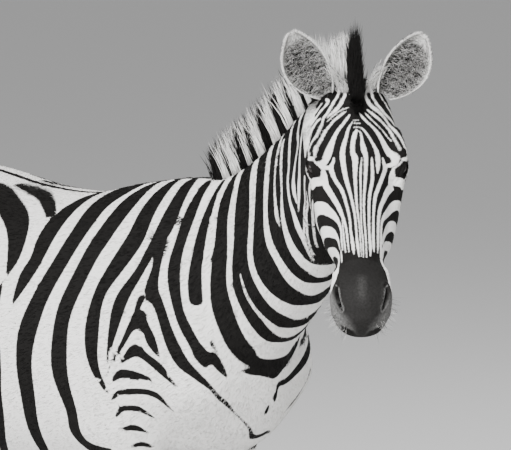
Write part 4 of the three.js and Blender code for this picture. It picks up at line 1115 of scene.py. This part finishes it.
def mane(name, first, last, count, rooting):
    """Stiff upright hair down the crest between two knots: broad pale bands with thin dark tips."""
    knot = rng.uniform(first, last, count)
    point, top, along, side = neck_frame(knot)
    offset = np.clip(rng.normal(size=count) * 6.5, -15, 15)
    root = point + side * offset[:, None] - top * (6 + offset ** 2 / 22)[:, None]
    tall = np.interp(knot, MANE_KNOTS, MANE_TALL) * rng.uniform(0.72, 1.06, count) + 4
    lean = side * (offset / 60 + rng.normal(size=count) * 0.08)[:, None]
    sweep = along * (0.34 + 0.06 * np.sin(knot * 5) + rng.normal(size=count) * 0.06)[:, None]
    i = np.clip(knot.astype(int), 0, len(neck.length) - 2)
    length = neck.length[i] + (knot - i) * (neck.length[i + 1] - neck.length[i])
    length = length + rng.normal(size=count) * 1.6
    mark = np.full(count, 9.0)
    for centre, half in MANE_WHITE:
        mark = np.minimum(mark, np.abs(length - centre) - half)
    mark = np.clip(mark, -9, 9)
    tip = np.where(rng.random(count) < 0.55, rng.uniform(0, 3.5, count), mark)
    return tufts(name, root, top + lean + sweep + jitter(count, 0.03), jitter(count, 0.07), tall,
                 rng.uniform(1.9, 3.6, count), mark, np.maximum(mark, tip), rooting.nearest(root)[2],
                 fade=4)


def forelock(rooting):
    """The mane's front end between the ears: pale over the poll, then a black pointed lock."""
    pale, black = 2300, 2600
    pale_ink = np.where(rng.random(pale) < 0.8, -8.0, 2.5)
    part = rng.random(pale)
    ends = np.array([on_head(-47, -50, -108), on_head(-38, -9, -38)])
    over_poll = ends[0] + part[:, None] * (ends[1] - ends[0]) + jitter(pale, 6.5)
    pale_root = rooting.nearest(over_poll)[0] * 0.5 + over_poll * 0.5
    pale_along = UP - np.array([0.3, -0.2, 0]) * (1 - part[:, None] * 0.6) - LEFT * 0.06
    pale_tall = (62 + 30 * part) * rng.uniform(0.62, 1.03, pale)
    s = rng.uniform(-32, 58, black)
    u = np.clip(rng.normal(size=black) * np.interp(s, [-20, 10, 34, 58], [4, 6.5, 5, 2]), -14, 14)
    u = u + np.interp(s, [-20, 20, 50], [-3, 2, 0])
    root = on_head(s[:, None], u[:, None], np.interp(s, [-44, -20, 10, 52], [-46, -24, -8, -2])[:, None])
    tall = np.interp(s, [-32, -20, -5, 15, 34, 58], [112, 118, 112, 84, 34, 9])
    tall = tall * rng.uniform(0.66, 1.0, black) * (1 - 0.42 * (np.abs(u) / 9) ** 1.2 * (tall > 60))
    laid = ramp(s, 22, 50)[:, None]
    towards = (UP + BROW * 0.1 - ALONG * 0.05) * (1 - laid) + (ALONG * 0.6 + BROW * 0.35) * laid
    towards = towards + LEFT * (u / 130)[:, None]
    root = np.concatenate([pale_root, root])
    count = pale + black
    tip = np.concatenate([np.maximum(pale_ink, rng.uniform(-6, 2.5, pale)), rng.uniform(0.4, 9, black)])
    return tufts("forelock", root, np.concatenate([pale_along, towards]) + jitter(count, 0.045),
                 jitter(count, 0.05) - BROW * 0.05, np.concatenate([pale_tall, tall]),
                 rng.uniform(1.7, 3.0, count), np.concatenate([pale_ink, np.full(black, 9.0)]), tip,
                 rooting.nearest(root)[2], fade=4)


def tail_hair(rooting):
    """Long hair from the lower dock, hanging to the hocks."""
    count = 4200
    z = rng.uniform(868, 1010, count) - rng.random(count) ** 2 * 8
    turn = rng.uniform(0, 2 * math.pi, count)
    centre = np.interp(z, [868, 980, 1090], [-742, -742, -728])
    thick = np.interp(z, [868, 980, 1090], [13, 16, 21])
    root = np.stack([centre + thick * np.cos(turn), thick * np.sin(turn), z], 1)
    out = np.stack([np.cos(turn), np.sin(turn), np.zeros(count)], 1)
    end = rng.uniform(505, 700, count) - (z < 900) * rng.uniform(0, 30, count)
    length = z - end
    towards = out * (28 / length)[:, None] * rng.uniform(0.2, 1.5, count)[:, None] - UP
    bend = -out * (14 / length)[:, None] + jitter(count, 0.035)
    mark = np.where(z > 955, np.where(rng.random(count) < 0.5, -8.0, 7.0), 8.0)
    return tufts("tail_hair", root, towards, bend, length, rng.uniform(3.0, 5.2, count), mark,
                 np.full(count, 9.0), rooting.nearest(root)[2], rings=4)


def lie_of_coat(p, normal):
    """The way the hair lies at each point, along the skin."""
    s, u, v = head_place(p)
    reach = neck.distance(p)
    on_skull = ramp(reach - from_skull(p), -6, 20)[:, None]
    on_neck = (ramp(40 - reach, 0, 30) * ramp(p[:, 0], 330, 480))[:, None]
    on_leg = ramp(-p[:, 2], -760, -640)[:, None]
    body = np.array([-1, 0, -0.4]) * (1 - on_leg) + np.array([-0.15, 0, -1]) * on_leg
    i = neck.place(p)[0]
    body = body * (1 - on_neck) + (-neck.tangent[i] - UP * 0.5) * on_neck
    whorl = np.clip((s - 130) / 60, -1, 1)[:, None]
    face = ALONG * whorl + LEFT * (u / 90)[:, None] - BROW * (0.25 + np.abs(u) / 55)[:, None]
    flow = body * (1 - on_skull) + face * on_skull
    flow = flow - normal * (flow * normal).sum(1, keepdims=True)
    return unit(flow + 1e-6)


def coat_piece(name, rooting, chosen, count, length, width, lift=0.13):
    """Short tufts over one part of the skin; length and width are functions of the root's place."""
    root, normal, uv = rooting.scatter(count, chosen(rooting.centre).astype(float))
    flow = lie_of_coat(root, normal)
    size = length(root) * rng.uniform(0.75, 1.2, count)
    towards = flow + normal * lift + jitter(count, 0.06)
    tip = root + unit(towards) * size[:, None]
    piece = tufts(name, root - normal * 0.4, towards, np.zeros((count, 3)), size,
                  width(root) * rng.uniform(0.8, 1.2, count), ink(root), ink(tip), uv, rings=1)
    set_mark(piece.data, "grey", np.repeat(grey(root), 4))
    return piece


def clear_of_eyes(p):
    return from_eye(*head_place(p))[0] > 27


def coat(rooting):
    """Every part of the skin carries short tufts, shorter and finer on the face and feet."""
    by_height = lambda values: lambda p: np.interp(p[:, 2], [80, 400, 800, 1100], values)
    down_face = lambda values: lambda p: np.interp(head_place(p)[0], [0, 120, 360, 480], values)
    fur, fine = by_height([5, 6.5, 9, 10.5]), by_height([1.2, 1.4, 1.8, 2.0])
    nap, thin = down_face([8, 5.5, 4, 2.2]), down_face([1.5, 1.1, 0.9, 0.7])
    is_head = lambda p: near_head(p) & (head_place(p)[0] > 0)
    body = lambda p: ~is_head(p) & (p[:, 2] > 620)
    return [
        coat_piece("coat_barrel_right", rooting, lambda p: body(p) & (p[:, 0] < 300) & (p[:, 1] < 0),
                   40000, fur, fine),
        coat_piece("coat_barrel_left", rooting, lambda p: body(p) & (p[:, 0] < 300) & (p[:, 1] >= 0),
                   36000, fur, fine),
        coat_piece("coat_forehand", rooting, lambda p: body(p) & (p[:, 0] >= 300), 48000, fur, fine),
        coat_piece("coat_legs", rooting, lambda p: ~is_head(p) & (p[:, 2] <= 620), 42000, fur, fine),
        coat_piece("coat_head", rooting, lambda p: is_head(p) & clear_of_eyes(p), 46000, nap, thin),
    ]


def ear_hair(side, rooting):
    """The ear's pale fringe, smooth border, tangled hollow with painted shade in its middle, marked back, and
    the fur at its foot.
    """
    _, ahead, axis, broad = ear_frame(side)
    parts, tangle = [], []

    def grow(parts, t, across, lift, lie, long, ink, curl):
        """lie: how far the hair points out of the ear's back, up the ear, outwards across it and ahead."""
        out = unit(ear_point(side, t, across, 6.0) - ear_point(side, t, across, -6.0))
        towards = out * lie[0] + axis * lie[1] + broad * (across * lie[2])[:, None] + ahead * lie[3]
        parts.append((ear_point(side, t, across, lift), towards, rng.uniform(*long, len(t)), ink,
                      jitter(len(t), curl)))

    t = rng.uniform(0.02, 1, 1800)
    across = rng.choice((-1, 1), 1800) * rng.uniform(0.93, 1, 1800)
    fringe = np.where(rng.random(1800) < 0.07, 3.0, -6.0)
    grow(parts, t, across, 0, (0, 0.8, 0.6, 0.25), (2.5, 5.5), fringe, 0.1)
    t, across = rng.uniform(0.03, 0.97, 1500), rng.choice((-1, 1), 1500) * rng.uniform(0.55, 0.95, 1500)
    grow(parts, t, across, -1.6, (-0.3, 0.5, 0.8, 0.1), (4, 7), rng.uniform(-0.8, 0.9, 1500), 0.1)
    t, across = rng.beta(1.6, 1.7, 3200) * 0.78 + 0.05, np.clip(rng.normal(size=3200) * 0.34, -0.78, 0.78)
    # Painted shade: more of the tangled hairs are dark towards the middle of the hollow.
    middle = (1 - np.abs(across)) * np.sin(math.pi * t)
    shade = np.where(rng.random(3200) < 0.4 + 0.3 * middle, 1.5, -0.7)
    grow(tangle, t, across, -1.6, (-0.6, 0.25, -0.5, 0), (8, 16), shade, 0.8)
    t, across = rng.uniform(0, 0.98, 1500), rng.uniform(-0.95, 0.95, 1500)
    grow(parts, t, across, 1.6, (0.12, 1, 0, 0), (5, 8), ear_ink(t), 0.08)
    foot = rng.uniform(0, 1, 900)
    goal = ear_point(side, 0.3 * (1 - foot), -0.9, 0)
    goal = goal - broad * (foot * 24)[:, None] - axis * (foot * 12)[:, None] + jitter(900, 5)
    root = rooting.nearest(goal)[0] * foot[:, None] + goal * (1 - foot[:, None])
    parts.append((root, axis + ahead * 0.1 + jitter(900, 0.1), rng.uniform(7, 15, 900),
                  np.where(rng.random(900) < 0.85, -5.0, 2.0), jitter(900, 0.2)))
    pieces = []
    for name, rows, width, rings in (("ear_hair_", parts, 0.95, 2), ("ear_tangle_", tangle, 0.75, 3)):
        root, towards, long, mark, bend = (np.concatenate([row[k] for row in rows]) for k in range(5))
        pieces.append(tufts(name + side, root, towards + jitter(len(root), 0.08), bend, long, width, mark,
                            mark, rooting.nearest(root)[2], rings=rings))
    return pieces


WHISKER = {"count": 330, "short": 8, "long": 23, "width": 0.4}
LASH = {"count": 80, "short": 5, "long": 8.5, "width": 0.6, "out": 24.5}


def whiskers(rooting):
    """Stiff hairs of the lips and chin, and the lashes over each eye."""
    def on_lips(p):
        s, u, v = head_place(p)
        return (near_head(p) & (s > 428) & (v < -48) & (np.abs(u) > 26)).astype(float)

    count = WHISKER["count"]
    root, normal, uv = rooting.scatter(count, on_lips(rooting.centre))
    shade = np.where(rng.random(count) < 0.45, -6.0, 4.0)
    hairs = [tufts("whiskers", root, normal + ALONG * 0.25 + jitter(count, 0.2), jitter(count, 0.14),
                   rng.uniform(WHISKER["short"], WHISKER["long"], count), WHISKER["width"], shade, shade, uv)]
    count = LASH["count"]
    for side, q in SIDES.items():
        along = rng.uniform(-14, 15, count)
        rise = LID["up"] * (1 - (along / LID["long"]) ** 2) ** 0.7 + 1
        ahead = np.sqrt(np.maximum(LASH["out"] ** 2 - along ** 2 - rise ** 2, 1)) - 1
        place = along[:, None] * CORNERS + rise[:, None] * LIDWARD + ahead[:, None] * GAZE
        place = (place + EYE_AT) * (1, q, 1)
        root = on_head(*(place[:, k:k + 1] for k in range(3)))
        towards = on_head(*(GAZE * (1, q, 1))) - POLL + 0.15 * UP
        shade = np.full(count, 9.0)
        hairs.append(tufts("lashes_" + side, root, towards + jitter(count, 0.1),
                           np.broadcast_to(-UP * 0.35, (count, 3)),
                           rng.uniform(LASH["short"], LASH["long"], count), LASH["width"],
                           shade, shade, rooting.nearest(root)[2]))
    return hairs


# ---- Eyes and hooves ----
def eyeball(side):
    bm = bmesh.new()
    bmesh.ops.create_uvsphere(bm, u_segments=40, v_segments=24, radius=EYE["radius"] * MM)
    mesh = bpy.data.meshes.new("eyeball_" + side)
    bm.to_mesh(mesh)
    bm.free()
    mesh.shade_smooth()
    ball = add_object("eyeball_" + side, mesh)
    ball.location = to_metres(on_head(*EYE_AT * (1, SIDES[side], 1)))
    mesh.materials.append(EYE_LOOK)
    return ball


def hoof_material():
    m, shader = material("hoof", Roughness=0.42)
    nodes, links = m.node_tree.nodes, m.node_tree.links
    place = nodes.new("ShaderNodeTexCoord")
    rings = nodes.new("ShaderNodeTexWave")
    rings.bands_direction = "Z"
    rings.inputs["Scale"].default_value = 45
    rings.inputs["Distortion"].default_value = 2.2
    rings.inputs["Detail"].default_value = 2
    links.new(place.outputs["Object"], rings.inputs["Vector"])
    horn = ramp_node(nodes, links, rings.outputs["Fac"], 0, 1, *HORN)
    links.new(horn, shader.inputs["Base Color"])
    bump = nodes.new("ShaderNodeBump")
    bump.inputs["Strength"].default_value = 0.35
    bump.inputs["Distance"].default_value = 0.001
    links.new(rings.outputs["Fac"], bump.inputs["Height"])
    links.new(bump.outputs["Normal"], shader.inputs["Normal"])
    return m


EYE_LOOK = material("eye", Base_Color=(0.012, 0.009, 0.008, 1), Roughness=0.06)[0]  # nearly black, wet
HOOF_LOOK = hoof_material()
rooting = Rooting(skin.data)
hair = [mane("mane_hair", 7.7, 16.5, 8600, rooting), mane("mane_hair_front", 16.5, 25, 8600, rooting),
        forelock(rooting), tail_hair(rooting), *coat(rooting), *whiskers(rooting)]
for side in SIDES:
    hair += ear_hair(side, rooting)
for side in SIDES:
    ball = eyeball(side)
    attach(ball, "root")
    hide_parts("eye_" + side)
for leg in LEGS:
    hoof = frame["nodes"]["hoof_" + leg]
    hoof.data.materials.clear()
    hoof.data.materials.append(HOOF_LOOK)


def add_ears():
    """Joins both ears to the skin as one piece, in the lower right corner of its unwrap."""
    bpy.ops.object.select_all(action="DESELECT")
    for k, side in enumerate(SIDES):
        mesh = ear_mesh(side)
        unwrap(add_object("ear_skin_" + side, mesh), 0.07, (0.925, 0.005 + 0.08 * k))
        mesh.materials.append(COAT_LOOK)
        mesh.shade_smooth()
    for side in SIDES:
        bpy.data.objects["ear_skin_" + side].select_set(True)
    skin.select_set(True)
    bpy.context.view_layer.objects.active = skin
    bpy.ops.object.join()


add_ears()
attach(skin, "root")
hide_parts("trunk", "neck", "head", "tail", "ear_right", "ear_left", *LEG_NODES)
for piece in hair:
    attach(piece, "root")
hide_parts("mane")
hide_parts("tail_tuft")


# ---- Stage ----
SHOULDER = np.array([420.0, 0, 1312])  # where the mane starts
VIEW = {"azimuth": 40, "elevation": 8, "distance": 10.0, "lens": 352.3, "right": 0.095, "down": 0.092}


def place_camera():
    """Looks along the photograph's line, with the mane's start left of and above the middle."""
    azimuth, elevation = math.radians(VIEW["azimuth"]), math.radians(VIEW["elevation"])
    back = Vector((math.sin(azimuth) * math.cos(elevation), -math.cos(azimuth) * math.cos(elevation),
                   math.sin(elevation)))
    right = Vector((math.cos(azimuth), math.sin(azimuth), 0))
    target = Vector(to_metres(SHOULDER)) + right * VIEW["right"] - back.cross(right) * VIEW["down"]
    data = bpy.data.cameras.new("camera")
    data.sensor_width = 36
    data.lens = VIEW["lens"]
    data.clip_end = 100
    camera = add_object("camera", data)
    camera.location = target + back * VIEW["distance"]
    camera.rotation_euler = back.to_track_quat("Z", "Y").to_euler()
    bpy.context.scene.camera = camera


def add_light(name, energy, place, towards, size):
    data = bpy.data.lights.new(name, "AREA")
    data.energy = energy
    data.size = size
    lamp = add_object(name, data)
    lamp.location = place
    lamp.rotation_euler = (Vector(place) - Vector(towards)).to_track_quat("Z", "Y").to_euler()


def add_floor():
    """A wide pale floor, and a pale grey world round it."""
    mesh = bpy.data.meshes.new("floor")
    mesh.from_pydata([(-30, -30, 0), (30, -30, 0), (30, 30, 0), (-30, 30, 0)], [], [(0, 1, 2, 3)])
    floor = add_object("floor", mesh)
    mesh.materials.append(material("floor", Base_Color=(0.72, 0.72, 0.72, 1), Roughness=0.9)[0])
    world = bpy.data.worlds.new("studio")
    world.use_nodes = True
    world.node_tree.nodes["Background"].inputs["Color"].default_value = (0.55, 0.55, 0.55, 1)
    world.node_tree.nodes["Background"].inputs["Strength"].default_value = 0.85
    bpy.context.scene.world = world


place_camera()
add_floor()
add_light("key", 700, (2.2, -4.2, 4.6), (0.3, 0, 1.1), 3.0)
add_light("fill", 140, (-3.5, -3.5, 2.6), (0, 0, 0.9), 3.0)
add_light("rim", 150, (0.5, 4.5, 4.0), (0, 0, 1.0), 2.5)
